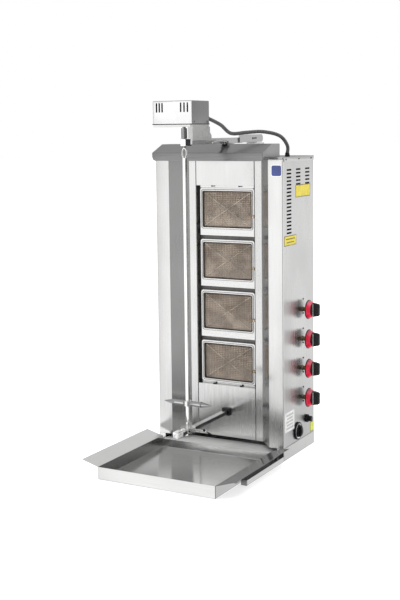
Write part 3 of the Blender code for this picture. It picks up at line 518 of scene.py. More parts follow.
def carried_parts():
    for mat, edge, names in CARRIED:
        for name in names:
            for slot in nodes[name].material_slots:
                slot.material = mat
            soften(nodes[name], edge)


# ---- folded sheet metal ----
SHEET = 0.0012
BEND = 0.002                # outer radius of a fold
PILLAR_X, WING_X, CHANNEL_X = 0.18, 0.1328, 0.1072      # folds of the front sheets
FLANGE_DEPTH, CHANNEL_DEPTH, WALL_DEPTH = 0.01, 0.0521, 0.0772   # behind the cabinet's front


def bent(corners, radius, steps=5):
    """(point, direction) pairs along a line whose inner corners are arcs."""
    corners = [Vector(c) for c in corners]
    line = [(corners[0], (corners[1] - corners[0]).normalized())]
    for a, b, c in zip(corners, corners[1:], corners[2:]):
        into, out = (b - a).normalized(), (c - b).normalized()
        turn = into.angle_signed(out)
        point = b - into * (radius * tan(abs(turn) / 2.0))
        for k in range(steps + 1):
            direction = Matrix.Rotation(-turn * k / steps, 2) @ into
            if k:
                chord = Matrix.Rotation(-turn * (k - 0.5) / steps, 2) @ into
                point = point + chord * (2.0 * radius * sin(abs(turn) / (2.0 * steps)))
            line.append((point.copy(), direction))
    line.append((corners[-1], (corners[-1] - corners[-2]).normalized()))
    return line


def folded_sheets():
    """Pillar, slanted wing, flat strip and channel wall, folded from one sheet on each side."""
    low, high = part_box("right_reflector")
    line = bent([(high.x, FRONT + FLANGE_DEPTH), (high.x, FRONT), (PILLAR_X, FRONT),
                 (WING_X, FRONT + CHANNEL_DEPTH), (CHANNEL_X, FRONT + CHANNEL_DEPTH),
                 (CHANNEL_X, FRONT + WALL_DEPTH)], BEND)
    outer = [tuple(point) for point, _ in line]
    inner = [(p.x + SHEET * d.y, p.y - SHEET * d.x) for p, d in line]
    for node, side in (("right_reflector", 1.0), ("left_reflector", -1.0)):
        bm = new(prism, [(side * x, y) for x, y in outer + inner[::-1]],
                 Matrix.Translation((0.0, 0.0, low.z)), high.z - low.z)
        piece(node.replace("_reflector", "_pillar_sheet"), bm, upright_steel, stands_for=(node,), angle=12.0)


def shell(low, high, open_side, radius=BEND):
    """A rounded box of sheet, open above (1) or below (-1), as a temporary object."""
    low, high = Vector(low), Vector(high)
    bm = bmesh.new()
    spare = Vector((0.0, 0.0, 0.01))
    block(bm, low - max(0, -open_side) * spare, high + max(0, open_side) * spare, radius, 4)
    bmesh.ops.bisect_plane(bm, geom=bm.verts[:] + bm.edges[:] + bm.faces[:],
                           plane_co=low if open_side < 0 else high,
                           plane_no=(0.0, 0.0, float(open_side)), clear_outer=True)
    obj = as_object("sheet", bm)
    solid = obj.modifiers.new("sheet", "SOLIDIFY")
    solid.thickness = SHEET
    solid.offset = -1.0
    solid.use_even_offset = True
    return obj


def finished(obj, gap, angle, place=None):
    """A temporary object's final shape as a bmesh, with close points joined and flat faces merged."""
    bpy.context.view_layer.update()
    mesh = bpy.data.meshes.new_from_object(obj.evaluated_get(bpy.context.evaluated_depsgraph_get()))
    bpy.data.objects.remove(obj, do_unlink=True)
    if place:
        mesh.transform(place)
    bm = bmesh.new()
    bm.from_mesh(mesh)
    bmesh.ops.remove_doubles(bm, verts=bm.verts, dist=gap)
    bmesh.ops.dissolve_limit(bm, angle_limit=radians(angle), verts=bm.verts, edges=bm.edges)
    return bm


def cut_sheet(obj, cutters, name, mat, node, body="cabinet"):
    """Cut closed shapes, given as bmeshes, out of a temporary sheet and show what is left."""
    tools = [as_object("cutter", bm) for bm in cutters]
    for tool in tools:
        change = obj.modifiers.new("cut", "BOOLEAN")
        change.operation = "DIFFERENCE"
        change.solver = "EXACT"
        change.object = tool
    shown = piece(name, finished(obj, 0.000002, 0.3), mat, body, stands_for=(node,), angle=26.0)
    for tool in tools:
        bpy.data.objects.remove(tool, do_unlink=True)
    round_edges(shown, 0.0003, 50.0, harden_normals=True)


def base_pan():
    low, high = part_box("base_pan")
    mouth = new(box, (-0.2075, low.y - 0.01, 0.012), (0.2075, low.y + 0.01, 0.1))
    cut_sheet(shell(low, high, 1), [mouth], "base_tray", level_steel, "base_pan")


def lid():
    low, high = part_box("top_cover")
    front = new(box, (-0.3, low.y - 0.01, 0.9), (0.3, FRONT + 0.0103, high.z - 0.004))
    cut_sheet(shell(low, high, -1), [front], "lid_sheet", level_steel, "top_cover")


FLAP_ANGLE = 15.0
FLAP_WIDTH = 0.062


def drip_tray():
    """The pan with its low back wall, a ledge that reaches into the base, and two leaning flaps."""
    low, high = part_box("drip_tray")
    half, front, back, rim = 0.204, low.y, FRONT - 0.0215, 0.04
    ledge, lip = 0.0282, 0.021
    low_back = new(box, (-half - 0.01, back - 0.004, ledge), (half + 0.01, back + 0.01, 0.1))
    cut_sheet(shell((-half, front, low.z), (half, back, rim), 1), [low_back], "tray_pan", tray_steel,
              "drip_tray", "drip_tray")
    half -= 0.0004
    bm = new(block, (-half, back - SHEET, ledge - SHEET), (half, high.y, ledge), 0.0004)
    block(bm, (-half, high.y - SHEET, lip), (half, high.y, 0.0276), 0.0004)
    piece("tray_ledge", bm, ledge_steel, "drip_tray")
    # Left flap lit, right flap shaded: painted highlight and painted shade on twin flaps.
    for side, name, mat, tip in ((-1.0, "left_tray_flap", bright_flap, front),
                                 (1.0, "right_tray_flap", flap_steel, front + 0.015)):
        end = back - 0.006
        bm = new(prism, [(0.0, front), (side * FLAP_WIDTH, tip), (side * FLAP_WIDTH, end), (0.0, end)],
                 Matrix.Translation((side * (half - 0.0002), 0.0, rim - SHEET))
                 @ Matrix.Rotation(side * radians(-FLAP_ANGLE), 4, "Y"), SHEET)
        soften(piece(name, bm, mat, "drip_tray"), FINE_EDGE)


def hood():
    """A heat deflector: upright fascia, slope and flat top, closed at both ends, open below."""
    low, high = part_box("hood")
    slope_top, fascia_top, corner, below = FRONT - 0.009, 0.9885, 0.012, 0.9
    outline = [(low.y, low.z), (low.y, fascia_top), (slope_top, high.z), (high.y, high.z), (high.y, low.z)]
    bm = new(prism, [tuple(point) for point, _ in bent(outline, BEND)],
             Matrix.Translation((low.x, 0.0, 0.0)) @ SIDE_VIEW, high.x - low.x)
    rims = [edge for edge in bm.edges if abs(edge.verts[0].co.x - edge.verts[1].co.x) < 1e-6
            and max(v.co.z for v in edge.verts) > low.z + 0.001]
    bmesh.ops.bevel(bm, geom=rims, offset=0.0016, segments=3, profile=0.5, affect="EDGES")
    front, top, back = low.y + SHEET, high.z - SHEET, high.y - SHEET
    hollow = new(prism, [(front, below), (front, fascia_top - 0.0008), (slope_top + 0.0004, top),
                         (back, top), (back, below)],
                 Matrix.Translation((low.x + SHEET, 0.0, 0.0)) @ SIDE_VIEW, high.x - low.x - 2.0 * SHEET)
    cutters = [hollow, new(box, (-0.3, front, below),
                                  (0.3, high.y + 0.02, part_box("top_cover")[1].z + 0.0003))]
    for side in (-1.0, 1.0):
        x = side * (high.x - corner)
        turns = [radians(7.5 * k) for k in range(13)]
        arc = [(x + side * corner * sin(turn), low.z + corner - corner * cos(turn))
               for turn in turns]
        notch = new(prism, arc + [(side * 0.25, low.z + corner), (side * 0.25, below), (x, below)],
                    Matrix.Translation((0.0, low.y - 0.01, 0.0)) @ FRONT_VIEW, 0.0125)
        cutters.append(notch)
    cut_sheet(as_object("solid", bm), cutters, "hood_sheet", hood_steel, "hood")


COVER_SLOTS = (-0.0785, -0.0687, -0.0588, 0.006, 0.0176, 0.0292)
COVER_SLOT_MIDDLE = 1.12875


def motor_cover():
    low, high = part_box("motor_cover")
    cutters = []
    for x in COVER_SLOTS:
        for y in (low.y, high.y):
            bm = new(prism, rounded(0.0052, 0.0295, 0.0024, 4, (x, COVER_SLOT_MIDDLE)),
                     Matrix.Translation((0.0, y - 0.006, 0.0)) @ FRONT_VIEW, 0.012)
            cutters.append(bm)
    cut_sheet(shell(low, high, -1, 0.0026), cutters, "motor_housing", cover_steel, "motor_cover",
              "motor_carriage")
    # A black strip just under the cover's lower edge: painted shade of the gap above the motor base.
    out, under = 0.0009, 0.0003
    bm = bmesh.new()
    skin(bm, [[bm.verts.new((x, y, low.z + z)) for x, y in (
        (low.x - grow, low.y - grow), (high.x + grow, low.y - grow), (high.x + grow, high.y + grow),
        (low.x - grow, high.y + grow))]
        for grow, z in ((out, -0.0024), (out, 0.0002), (-under, 0.0002), (-under, -0.0024))], True)
    piece("cover_edge_shade", bm, black_plastic, "motor_carriage")


# ---- side panels ----
VENT_LENGTH, VENT_HEIGHT = 0.036, 0.0056
VENT_TOP, VENT_PITCH = 0.932, 0.01175
VENT_COLUMNS = ((0.05, 18), (0.122, 5), (0.195, 5))   # distance behind the front, slots


def sheet_with_holes(name, outlines, x, thickness, node):
    """A sheet in the YZ plane with an outer outline, cut by the others."""
    curve = bpy.data.curves.new(name, "CURVE")
    curve.dimensions = "2D"
    curve.fill_mode = "BOTH"
    curve.extrude = thickness / 2.0
    for loop in outlines:
        spline = curve.splines.new("POLY")
        spline.points.add(len(loop) - 1)
        for point, (y, z) in zip(spline.points, loop):
            point.co = (y, z, 0.0, 1.0)
        spline.use_cyclic_u = True
    guide = bpy.data.objects.new(name + "_outline", curve)
    scene.collection.objects.link(guide)
    bm = finished(guide, 0.00001, 1.0, Matrix.Translation((x, 0.0, 0.0)) @ SIDE_VIEW)
    round_edges(piece(name, bm, panel_steel, stands_for=(node,), angle=30.0), 0.0003, 50.0)


def circle(centre, radius, sides=24):
    angles = [2.0 * pi * i / sides for i in range(sides)]
    return [(centre.y + radius * cos(a), centre.z + radius * sin(a)) for a in angles]


def side_panels():
    for node, columns, controls in (
            ("right_side_panel", VENT_COLUMNS, [(knob, 0.008) for knob in each_burner("gas_knob")]
             + [("igniter_button", 0.0083), ("switch_knob", 0.0063)]),
            ("left_side_panel", VENT_COLUMNS[:1], [])):
        low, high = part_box(node)
        outlines = [[(low.y, low.z), (high.y, low.z), (high.y, high.z), (low.y, high.z)]]
        outlines += [rounded(VENT_LENGTH, VENT_HEIGHT, VENT_HEIGHT * 0.42, 3,
                             (FRONT + y, VENT_TOP - row * VENT_PITCH))
                     for y, rows in columns for row in range(rows)]
        outlines += [circle(middle(control), radius) for control, radius in controls]
        sheet_with_holes(node.replace("_panel", "_sheet"), outlines, (low.x + high.x) / 2.0,
                         high.x - low.x, node)


# ---- burners ----
MESH_PITCH = 0.006
WIRE = 0.0006
CREASE = 0.0024
CREASE_WIDTH = 0.005
TILE_FACE = (0.18, 0.12)
MESH_FACE = (0.174, 0.114)


def crease(u, v):
    """How far the wire mesh stands out: folded up into a ridge along both diagonals."""
    slope = MESH_FACE[1] / MESH_FACE[0]
    away = min(abs(v - slope * u), abs(v + slope * u)) * cos(atan(slope))
    edge = min(MESH_FACE[0] / 2.0 - abs(u), MESH_FACE[1] / 2.0 - abs(v))
    return CREASE * max(0.0, 1.0 - away / CREASE_WIDTH) * min(1.0, max(0.0, edge / 0.012))


def wire_mesh(bm, centre, y):
    """Woven wires: each goes over and under those that cross it."""
    columns, rows = round(MESH_FACE[0] / MESH_PITCH), round(MESH_FACE[1] / MESH_PITCH)
    for lines, crossings, upright in ((columns, rows, True), (rows, columns, False)):
        for i in range(lines + 1):
            fixed = (i - lines / 2.0) * MESH_PITCH
            points = []
            for k in range(4 * crossings + 1):
                free = (k / 4.0 - crossings / 2.0) * MESH_PITCH
                u, v = (fixed, free) if upright else (free, fixed)
                weave = WIRE * cos(pi * (k / 4.0 + i)) * (1.0 if upright else -1.0)
                points.append((centre.x + u, y - crease(u, v) + weave, centre.z + v))
            tube(bm, points, WIRE, 5)


def frame_ring(bm, centre, y, outer, inner, radius, depth):
    """A flat ring between two rounded rectangles, from y to y + depth."""
    skin(bm, [[bm.verts.new((centre.x + u, place_y, centre.z + v))
               for u, v in rounded(width, height, radius, 4)]
              for (width, height), place_y in ((outer, y), (outer, y + depth), (inner, y + depth),
                                               (inner, y))], True)


def burners():
    for n in BURNER_NUMBERS:
        tile_low, tile_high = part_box("burner_tile_%d" % n)
        centre = (tile_low + tile_high) / 2.0
        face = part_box("burner_frame_%d" % n)[0].y
        bm = new(block, (tile_low.x, face + 0.0066, tile_low.z), tile_high, 0.001)
        piece("burner_%d_plaques" % n, bm, fired_ceramic, "cabinet",
              ("burner_tile_%d" % n,))
        bm = new(wire_mesh, centre, face + 0.005)
        piece("burner_%d_mesh" % n, bm, wire_metal, angle=80.0)
        # Paler wires along both diagonals: painted highlight where the creases catch the light.
        bm = bmesh.new()
        for turn in (-1.0, 1.0):
            ridge = []
            for k in range(25):
                u = MESH_FACE[0] * (k / 24.0 - 0.5) * 0.97
                v = turn * u * MESH_FACE[1] / MESH_FACE[0]
                ridge.append((centre.x + u, face + 0.004 - crease(u, v) - 0.0003 * turn, centre.z + v))
            tube(bm, ridge, 0.0006, 8)
        piece("burner_%d_creases" % n, bm, crease_highlight_metal)
        # A flat darker ring on the frame's face: painted shade beside the bead.
        bm = new(frame_ring, centre, face - 0.0002, (TILE_FACE[0] + 0.0118, TILE_FACE[1] + 0.0118),
                 (TILE_FACE[0] + 0.009, TILE_FACE[1] + 0.009), 0.0085, 0.0004)
        piece("burner_%d_groove" % n, bm, dull_steel)
        # A near-black ring behind the window's edge: painted shade in the slot round the mesh.
        bm = new(frame_ring, centre, face + 0.0017, (0.184, 0.124), MESH_FACE, 0.005, 0.0045)
        piece("burner_%d_gasket" % n, bm, slot_shade_backing)
        bm = bmesh.new()
        line = [(centre.x + u, face, centre.z + v)
                for u, v in rounded(TILE_FACE[0] + 0.0044, TILE_FACE[1] + 0.0044, 0.0072, 6)]
        tube(bm, line, 0.0019, 10, True)
        piece("burner_%d_bead" % n, bm, ground_steel)
        electrode(n, centre, face)


def electrode(n, centre, y):
    """Spark electrode: ceramic tube at the burner's right edge with a wire bent to the mesh."""
    x, z = centre.x + TILE_FACE[0] / 2.0 + 0.007, centre.z - 0.0215
    bm = new(tube, [(x, y + 0.0085, z), (x, y - 0.006, z)], 0.0026, 12)
    piece("electrode_%d_insulator" % n, bm, white_print)
    bm = new(tube, [(x, y - 0.0055, z), (x, y - 0.008, z), (x - 0.002, y - 0.0095, z + 0.0005),
                    (x - 0.013, y - 0.0085, z + 0.003), (x - 0.015, y - 0.006, z + 0.0034)], 0.0009, 8)
    block(bm, (x - 0.004, y - 0.0046, z - 0.004), (x + 0.004, y - 0.003, z + 0.004), 0.0005)
    piece("electrode_%d_tip" % n, bm, brass)


# ---- knobs and controls ----
def gas_knobs():
    for n in BURNER_NUMBERS:
        node = "gas_knob_%d" % n
        low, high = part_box(node)
        centre = Vector((low.x, (low.y + high.y) / 2.0, (low.z + high.z) / 2.0))
        radius, depth = (high.z - low.z) / 2.0, high.x - low.x
        place = placed(centre, "X")
        bm = new(lathe, [(0.0, 0.0), (radius - 0.001, 0.0), (radius, 0.0008), (radius, 0.0022),
                         (radius - 0.0006, 0.0028), (0.0285, 0.003), (0.0225, 0.014), (0.0206, 0.018),
                         (0.02, 0.0186), (0.0, 0.0186)], place, 64)
        piece("knob_%d_skirt" % n, bm, black_plastic, node, (node,))
        bm = new(knob_grip, centre, 0.0186, depth, (high.z - low.z) * 0.355)
        piece("knob_%d_grip" % n, bm, black_plastic, node)
        bm = new(hoop, [(radius - 0.003, 0.0026), (radius - 0.0021, 0.003), (radius - 0.0021, 0.004),
                        (0.0238, 0.0156), (0.023, 0.0162), (0.022, 0.016), (0.0214, 0.0154),
                        (0.0275, 0.003)], place, 64)
        piece("knob_%d_ring" % n, bm, red_plastic, node)
        bm = new(block, (centre.x + 0.0184, centre.y - 0.0097, centre.z - 0.0205),
                 (centre.x + 0.0218, centre.y + 0.0097, centre.z + 0.0205), 0.0008)
        piece("knob_%d_trim" % n, bm, trim_grey, node)
        gland(n, centre)


def knob_grip(bm, centre, back, front, tall):
    """The bar that is held: it narrows towards its end and has chamfered sides."""
    levels = ((back, tall, 0.009), (back + 0.006, tall - 0.0006, 0.009),
              (front - 0.002, tall - 0.003, 0.0084), (front, tall - 0.005, 0.0064))
    chamfer = 0.0024
    loops = []
    for x, half_z, half_y in levels:
        corners = [(half_y, half_z - chamfer), (half_y - chamfer, half_z), (-half_y + chamfer, half_z),
                   (-half_y, half_z - chamfer), (-half_y, -half_z + chamfer),
                   (-half_y + chamfer, -half_z), (half_y - chamfer, -half_z), (half_y, -half_z + chamfer)]
        loops.append([bm.verts.new(centre + Vector((x, y, z))) for y, z in corners])
    skin(bm, loops)
    cap(bm, loops)


def gland(n, centre):
    """Silver washer on the valve's neck, the brass collar that turns with the spindle, and two screws."""
    bm = bmesh.new()
    start = Vector((SIDE + 0.0004, centre.y, centre.z))
    hoop(bm, [(0.0078, 0.0), (0.0096, 0.0), (0.0096, 0.0006), (0.009, 0.0012), (0.0078, 0.0012)],
         placed(start, "X"), 32)
    piece("gland_%d_washer" % n, bm, silver)
    bm = new(lathe, [(0.0, 0.0), (0.0064, 0.0), (0.007, 0.0006), (0.007, 0.0052), (0.0062, 0.006),
                     (0.0062, 0.0069), (0.0055, 0.0074), (0.0, 0.0074)],
             placed((SIDE + 0.0042, centre.y, centre.z), "X"), 48)
    piece("spindle_%d_collar" % n, bm, brass, "gas_spindle_%d" % n)
    screws("gland_%d_screws" % n, "cabinet",
           [((SIDE, centre.y, centre.z + dz), "X") for dz in (-0.0132, 0.034)], 0.0028)


def igniter():
    low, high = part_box("igniter_bezel")
    centre = middle("igniter_bezel")
    place = placed((SIDE + 0.0003, centre.y, centre.z), "X")
    radius, reach = (high.z - low.z) / 2.0, high.x - SIDE - 0.0003
    bm = bmesh.new()
    loops = [(radius, 0.0), (radius, reach - 0.0015), (radius - 0.0014, reach), (0.0104, reach),
             (0.0097, reach - 0.0008), (0.0097, 0.0028), (0.009, 0.0)]
    hoop(bm, loops, place, 48)
    for k in range(12):
        turn = Matrix.Rotation(2.0 * pi * k / 12, 4, "Z")
        block(bm, (radius - 0.0008, -0.001, 0.0008), (radius + 0.0004, 0.001, reach - 0.0012), 0.0003, 1,
              place @ turn)
    piece("igniter_nut", bm, black_plastic, "cabinet", ("igniter_bezel",))
    low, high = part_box("igniter_button")
    length = high.x - low.x
    bm = new(lathe, [(0.0, 0.0), (0.0062, 0.0), (0.0062, 0.0222), (0.0092, 0.0228),
                     (0.0092, length - 0.0016), (0.008, length - 0.0004), (0.0062, length),
                     (0.0, length - 0.0006)],
             placed((low.x, centre.y, centre.z), "X"), 48)
    piece("igniter_cap", bm, black_plastic, "igniter_button", ("igniter_button",))


def motor_switch():
    centre = middle("switch_knob")
    low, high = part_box("switch_bezel")
    place = placed((SIDE + 0.0003, centre.y, centre.z), "X")
    rim, thick = (high.z - low.z) / 2.0, high.x - SIDE - 0.0003
    bm = new(hoop, [(rim - 0.001, 0.0), (rim, 0.001), (rim, thick - 0.0012), (rim - 0.0012, thick),
                    (0.0252, thick), (0.025, thick - 0.001), (0.0035, thick - 0.001), (0.0035, 0.0)],
             place, 64)
    piece("switch_surround", bm, black_plastic, "cabinet", ("switch_bezel",))
    bm = new(hoop, [(0.0249, thick - 0.0009), (0.0247, thick + 0.0004), (0.024, thick + 0.001),
                    (0.0207, thick + 0.0003), (0.0203, thick - 0.0006), (0.0203, thick - 0.0009)], place, 64)
    piece("switch_ring", bm, silver)
    bm = bmesh.new()
    for k in range(7):
        turn = Matrix.Rotation(radians(-60.0 + 20.0 * k), 4, "Z")
        block(bm, (-0.0241, -0.0004, thick + 0.0004), (-0.0216, 0.0004, thick + 0.0011), 0.0001, 1,
              place @ turn)
    piece("switch_ticks", bm, black_plastic)
    low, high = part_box("switch_knob")
    base = SIDE + 0.0003 + thick + 0.0003
    bm = new(lathe, [(0.0, 0.0), (0.0192, 0.0), (0.0198, 0.0006), (0.0198, 0.0026), (0.019, 0.0034),
                     (0.0, 0.0036)], placed((base, centre.y, centre.z), "X"), 64)
    crown = high.x - base - 0.002
    arch = [(crown * cos(a) ** 0.8, 0.0186 * sin(a))
            for a in (radians(-86.0 + 172.0 * k / 24) for k in range(25))]
    half = 0.006
    prism(bm, [(0.002 + x, z) for x, z in arch],
          Matrix.Translation((base, centre.y - half, centre.z)) @ FRONT_VIEW, 2.0 * half)
    round_edges(piece("switch_dial", bm, black_plastic, "switch_knob", ("switch_knob",)),
                0.0008, 50.0)
    bm = new(block, (base + 0.003, centre.y - 0.0005, centre.z + 0.0165),
             (base + 0.0042, centre.y + 0.0005, centre.z + 0.019), 0.0002, 1)
    piece("switch_pointer", bm, white_print, "switch_knob")


# ---- labels and badge ----
def label(name, y0, y1, z0, z1, mat, border, bars=0, bar_mat=None):
    """A thin plate on the right side panel, with a border and plain bars where print would be."""
    centre = ((y0 + y1) / 2.0, (z0 + z1) / 2.0)
    place = Matrix.Translation((SIDE, FRONT, 0.0)) @ SIDE_VIEW
    bm = new(prism, rounded(y1 - y0, z1 - z0, 0.002, 4, centre), place, 0.0003)
    piece(name + "_edge", bm, border)
    bm = new(prism, rounded(y1 - y0 - 0.0044, z1 - z0 - 0.0044, 0.0012, 4, centre), place, 0.0005)
    piece(name, bm, mat)
    if bars:
        bm = bmesh.new()
        for k in range(bars):
            z = z1 - (z1 - z0) * (k + 1.0) / (bars + 1.0)
            width = (y1 - y0) * (0.62 if k % 2 else 0.74)
            prism(bm, rounded(width, (z1 - z0) * 0.1, 0.0004, 2, (centre[0], z)), place, 0.0006)
        piece(name + "_bars", bm, bar_mat)


def labels():
    label("plain_label_upper", 0.101, 0.218, 0.842, 0.882, yellow_print, olive_print)
    label("plain_label_lower", 0.012, 0.105, 0.692, 0.724, yellow_print, olive_print, 2, olive_print)
    label("plain_plate", 0.013, 0.086, 0.09, 0.154, white_print, white_print, 5, pale_print)
    label("plain_sticker", 0.216, 0.245, 0.045, 0.078, green_print, olive_print)
    for name, size, corner, depth, mat, slot in (
            ("plain_badge_rim", 0.037, 0.007, 0.0008, silver, BRIGHT),
            ("plain_badge", 0.033, 0.0056, 0.0012, blue_enamel, "stainless")):
        outline = rounded(size, size, corner, 6, (0.2095, 0.931))
        bm = new(prism, outline, placed((0.0, FRONT, 0.0), "-Y"), depth)
        piece(name, bm, mat)


# ---- skewer, spike and lever ----
def skewer():
    foot_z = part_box("skewer")[0].z
    centre = middle("skewer")
    half = 0.00525
    bm = new(block, (-half, centre.y - half, 0.156), (half, centre.y + half, 0.977), 0.0009, 3)
    piece("skewer_rod", bm, ground_steel, "skewer", ("skewer",))
    points = [(0.0072 * cos(2.0 * pi * i / 48), centre.y,
               0.9905 + 0.0158 * sin(2.0 * pi * i / 48)) for i in range(48)]
    bm = new(tube, points, 0.003, 16, True)
    piece("skewer_eye", bm, ground_steel, "skewer")
    bm = new(lathe, [(0.0, 0.0), (0.0025, 0.0), (0.0045, 0.002), (0.0045, 0.007), (0.0075, 0.0085),
                     (0.0075, 0.015), (0.0052, 0.017), (0.0, 0.017)], placed((0.0, centre.y, foot_z)), 48)
    piece("skewer_foot", bm, ground_steel, "skewer")


def meat_spike():
    centre = middle("meat_spike")
    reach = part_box("meat_spike")[1].x - centre.x
    bm = bmesh.new()
    for axis in ("X", "-X"):
        lathe(bm, [(0.0, 0.011), (0.0076, 0.011), (0.0083, 0.013), (0.0083, 0.045), (0.009, 0.0456),
                   (0.0096, 0.0464), (0.0096, 0.0482), (0.009, 0.049), (0.0078, 0.0494), (0.0078, 0.0502),
                   (0.0083, 0.051), (0.0062, 0.062), (0.0034, 0.075), (0.0012, reach - 0.0008),
                   (0.0, reach)], placed(centre, axis), 48)
    piece("spike_points", bm, spike_steel, "meat_spike", ("meat_spike",))
    hole = 0.0056
    outer, inner = [], []
    for i in range(48):
        angle = 2.0 * pi * i / 48
        square = hole / max(abs(cos(angle)), abs(sin(angle)))
        outer.append((0.012 * cos(angle), 0.012 * sin(angle)))
        inner.append((square * cos(angle), square * sin(angle)))
    bm = bmesh.new()
    skin(bm, [[bm.verts.new(centre + Vector((u, v, w))) for u, v in loop] for loop, w in (
        (inner, -0.009), (outer, -0.0082), (outer, 0.0082), (inner, 0.009))], True)
    piece("spike_hub", bm, ground_steel, "meat_spike")


def lock_lever():
    """The wavy rod that locks the motor arm in the front guide, with its screw and hub."""
    tip_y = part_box("arm_lock_lever")[0].y
    pivot_y, pivot_z = FRONT - 0.018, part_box("hood")[1].z + 0.006
    bm = new(lathe, [(0.0, 0.0), (0.0026, 0.0), (0.003, 0.0004), (0.003, 0.0058), (0.0, 0.0058)],
             placed((0.0382, pivot_y, pivot_z), "X"), 32)
    lathe(bm, [(0.0, 0.0), (0.005, 0.0), (0.005, 0.0006), (0.0042, 0.001), (0.005, 0.0014),
               (0.005, 0.0052), (0.0042, 0.006), (0.0, 0.006)],
          placed((0.0443, pivot_y, pivot_z), "X"), 32)
    piece("lever_screw", bm, dull_steel, "arm_lock_lever", ("arm_lock_lever",))
    length = pivot_y - tip_y
    points = []
    for k in range(41):
        t = k / 40.0
        rise = 0.0046 * sin(pi * t) + 0.0006 * sin(3.0 * pi * t)
        points.append((0.0475, pivot_y - 0.002 - (length - 0.004) * t, pivot_z + rise))
    bm = new(tube, points, [0.0019 - 0.0004 * k / 40.0 for k in range(41)])
    piece("lever_rod", bm, ground_steel, "arm_lock_lever")


def clamp_screw():
    """Clamp screw of the lower carriage; a bar with ball ends is pushed through its hub."""
    y, z = FRONT - 0.193, 0.1277
    profile = [(0.0, 0.0), (0.0028, 0.0)]
    for k in range(18):
        start = 0.001 + k * 0.0014
        profile += [(0.003, start), (0.0026, start + 0.0007)]
    profile += [(0.003, 0.027), (0.003, 0.0362), (0.0048, 0.0372), (0.0048, 0.047), (0.004, 0.048),
                (0.0, 0.048)]
    bm = new(lathe, profile, placed((0.0095, y, z), "X"), 32)
    piece("clamp_screw_shank", bm, ground_steel, "clamp_screw", ("clamp_screw",))
    lean = Matrix.Translation((0.052, y, z)) @ Matrix.Rotation(radians(-118.5), 4, "X")
    ball = [(0.0026, -0.0076), (0.0036, -0.006), (0.004, -0.004), (0.0036, -0.0018),
            (0.0022, -0.0004), (0.0, 0.0)]
    bm = new(lathe, [(r, -0.014 - h) for r, h in ball[::-1]] + [(0.0023, -0.0058), (0.0023, 0.0588)]
             + [(r, 0.067 + h) for r, h in ball], lean, 24)
    piece("clamp_handle", bm, black_screw, "clamp_screw")


# ---- conduit ----
CONDUIT_RADIUS = 0.006
RIB_PITCH = 0.0034


def smooth_line(knots, steps):
    """A Catmull-Rom line through knots."""
    knots = [Vector(k) for k in knots]
    knots = [2.0 * knots[0] - knots[1]] + knots + [2.0 * knots[-1] - knots[-2]]
    line = []
    for a, b, c, d in zip(knots, knots[1:], knots[2:], knots[3:]):
        for k in range(steps):
            t = k / steps
            line.append(0.5 * ((2.0 * b) + (c - a) * t + (2.0 * a - 5.0 * b + 4.0 * c - d) * t * t
                               + (3.0 * b - a - 3.0 * c + d) * t ** 3))
    return line + [knots[-2]]


def conduit():
    start = Vector((0.033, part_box("motor_cover")[1].y, 1.097))
    end = Vector((0.195, FRONT + 0.115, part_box("top_cover")[1].z))
    knots = [start + Vector((0.0, 0.003, 0.0)), start + Vector((0.0, 0.008, 0.0)),
             (0.062, FRONT - 0.092, 1.076), (0.08, FRONT - 0.056, 1.049),
             (0.11, FRONT - 0.01, 1.051), (0.145, FRONT + 0.041, 1.0525),
             (0.179, FRONT + 0.091, 1.039), (end.x, end.y, 1.008), (end.x, end.y, 0.98),
             (end.x, end.y, end.z - 0.002)]
    dense = smooth_line(knots, 40)
    length = sum((b - a).length for a, b in zip(dense, dense[1:]))
    count = int(length / RIB_PITCH) * 4
    line, travelled, target, step = [dense[0]], 0.0, length / count, length / count
    for a, b in zip(dense, dense[1:]):
        part = (b - a).length
        while travelled + part >= target and len(line) < count:
            line.append(a.lerp(b, (target - travelled) / part))
            target += step
        travelled += part
    line.append(dense[-1])
    radii = [CONDUIT_RADIUS - 0.0001 - (0.0, 0.0003, 0.0006, 0.0003)[i % 4] for i in range(len(line))]
    bm = new(tube, line, radii, 20)
    obj = piece("conduit_sheath", bm, conduit_sheath, None, ("conduit",), 60.0)
    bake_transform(obj)
    for name, body, point, axis in (("gland_at_motor", "motor_carriage", start, "Y"),
                                    ("gland_at_lid", "cabinet", end, "Z")):
        bm = new(lathe, [(0.0, 0.0), (0.0086, 0.0), (0.0086, 0.005), (0.0078, 0.0058), (0.007, 0.0066),
                         (0.007, 0.0104), (0.006, 0.0116), (0.0, 0.0116)], placed(point, axis), 48,
                 lambda a, k: hexagon(a) if k in (1, 2) else 1.0)
        piece(name, bm, black_plastic, body)


# ---- small fittings ----
def bearing_spacer():
    """Black spacer around the bearing block's neck, between the block and the motor arm."""
    block_low, block_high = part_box("bearing_block")
    y = (block_low.y + block_high.y) / 2.0
    bm = new(block, (-block_low.x + 0.0002, y - 0.0068, block_low.z + 0.0004),
             (block_high.x - 0.0002, y + 0.0068, block_high.z - 0.0004), 0.0008)
    piece("bearing_spacer", bm, black_plastic, "motor_carriage")


def arm_cap():
    """Pale plastic cap pushed over the front end of the lower arm."""
    arm_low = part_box("support_arm")[0]
    bm = new(block, (-0.0097, arm_low.y - 0.0003, arm_low.z - 0.0002),
             (0.0097, arm_low.y + 0.0338, arm_low.z + 0.0197), 0.0022, 4)
    piece("arm_end_cap", bm, cap_plastic)


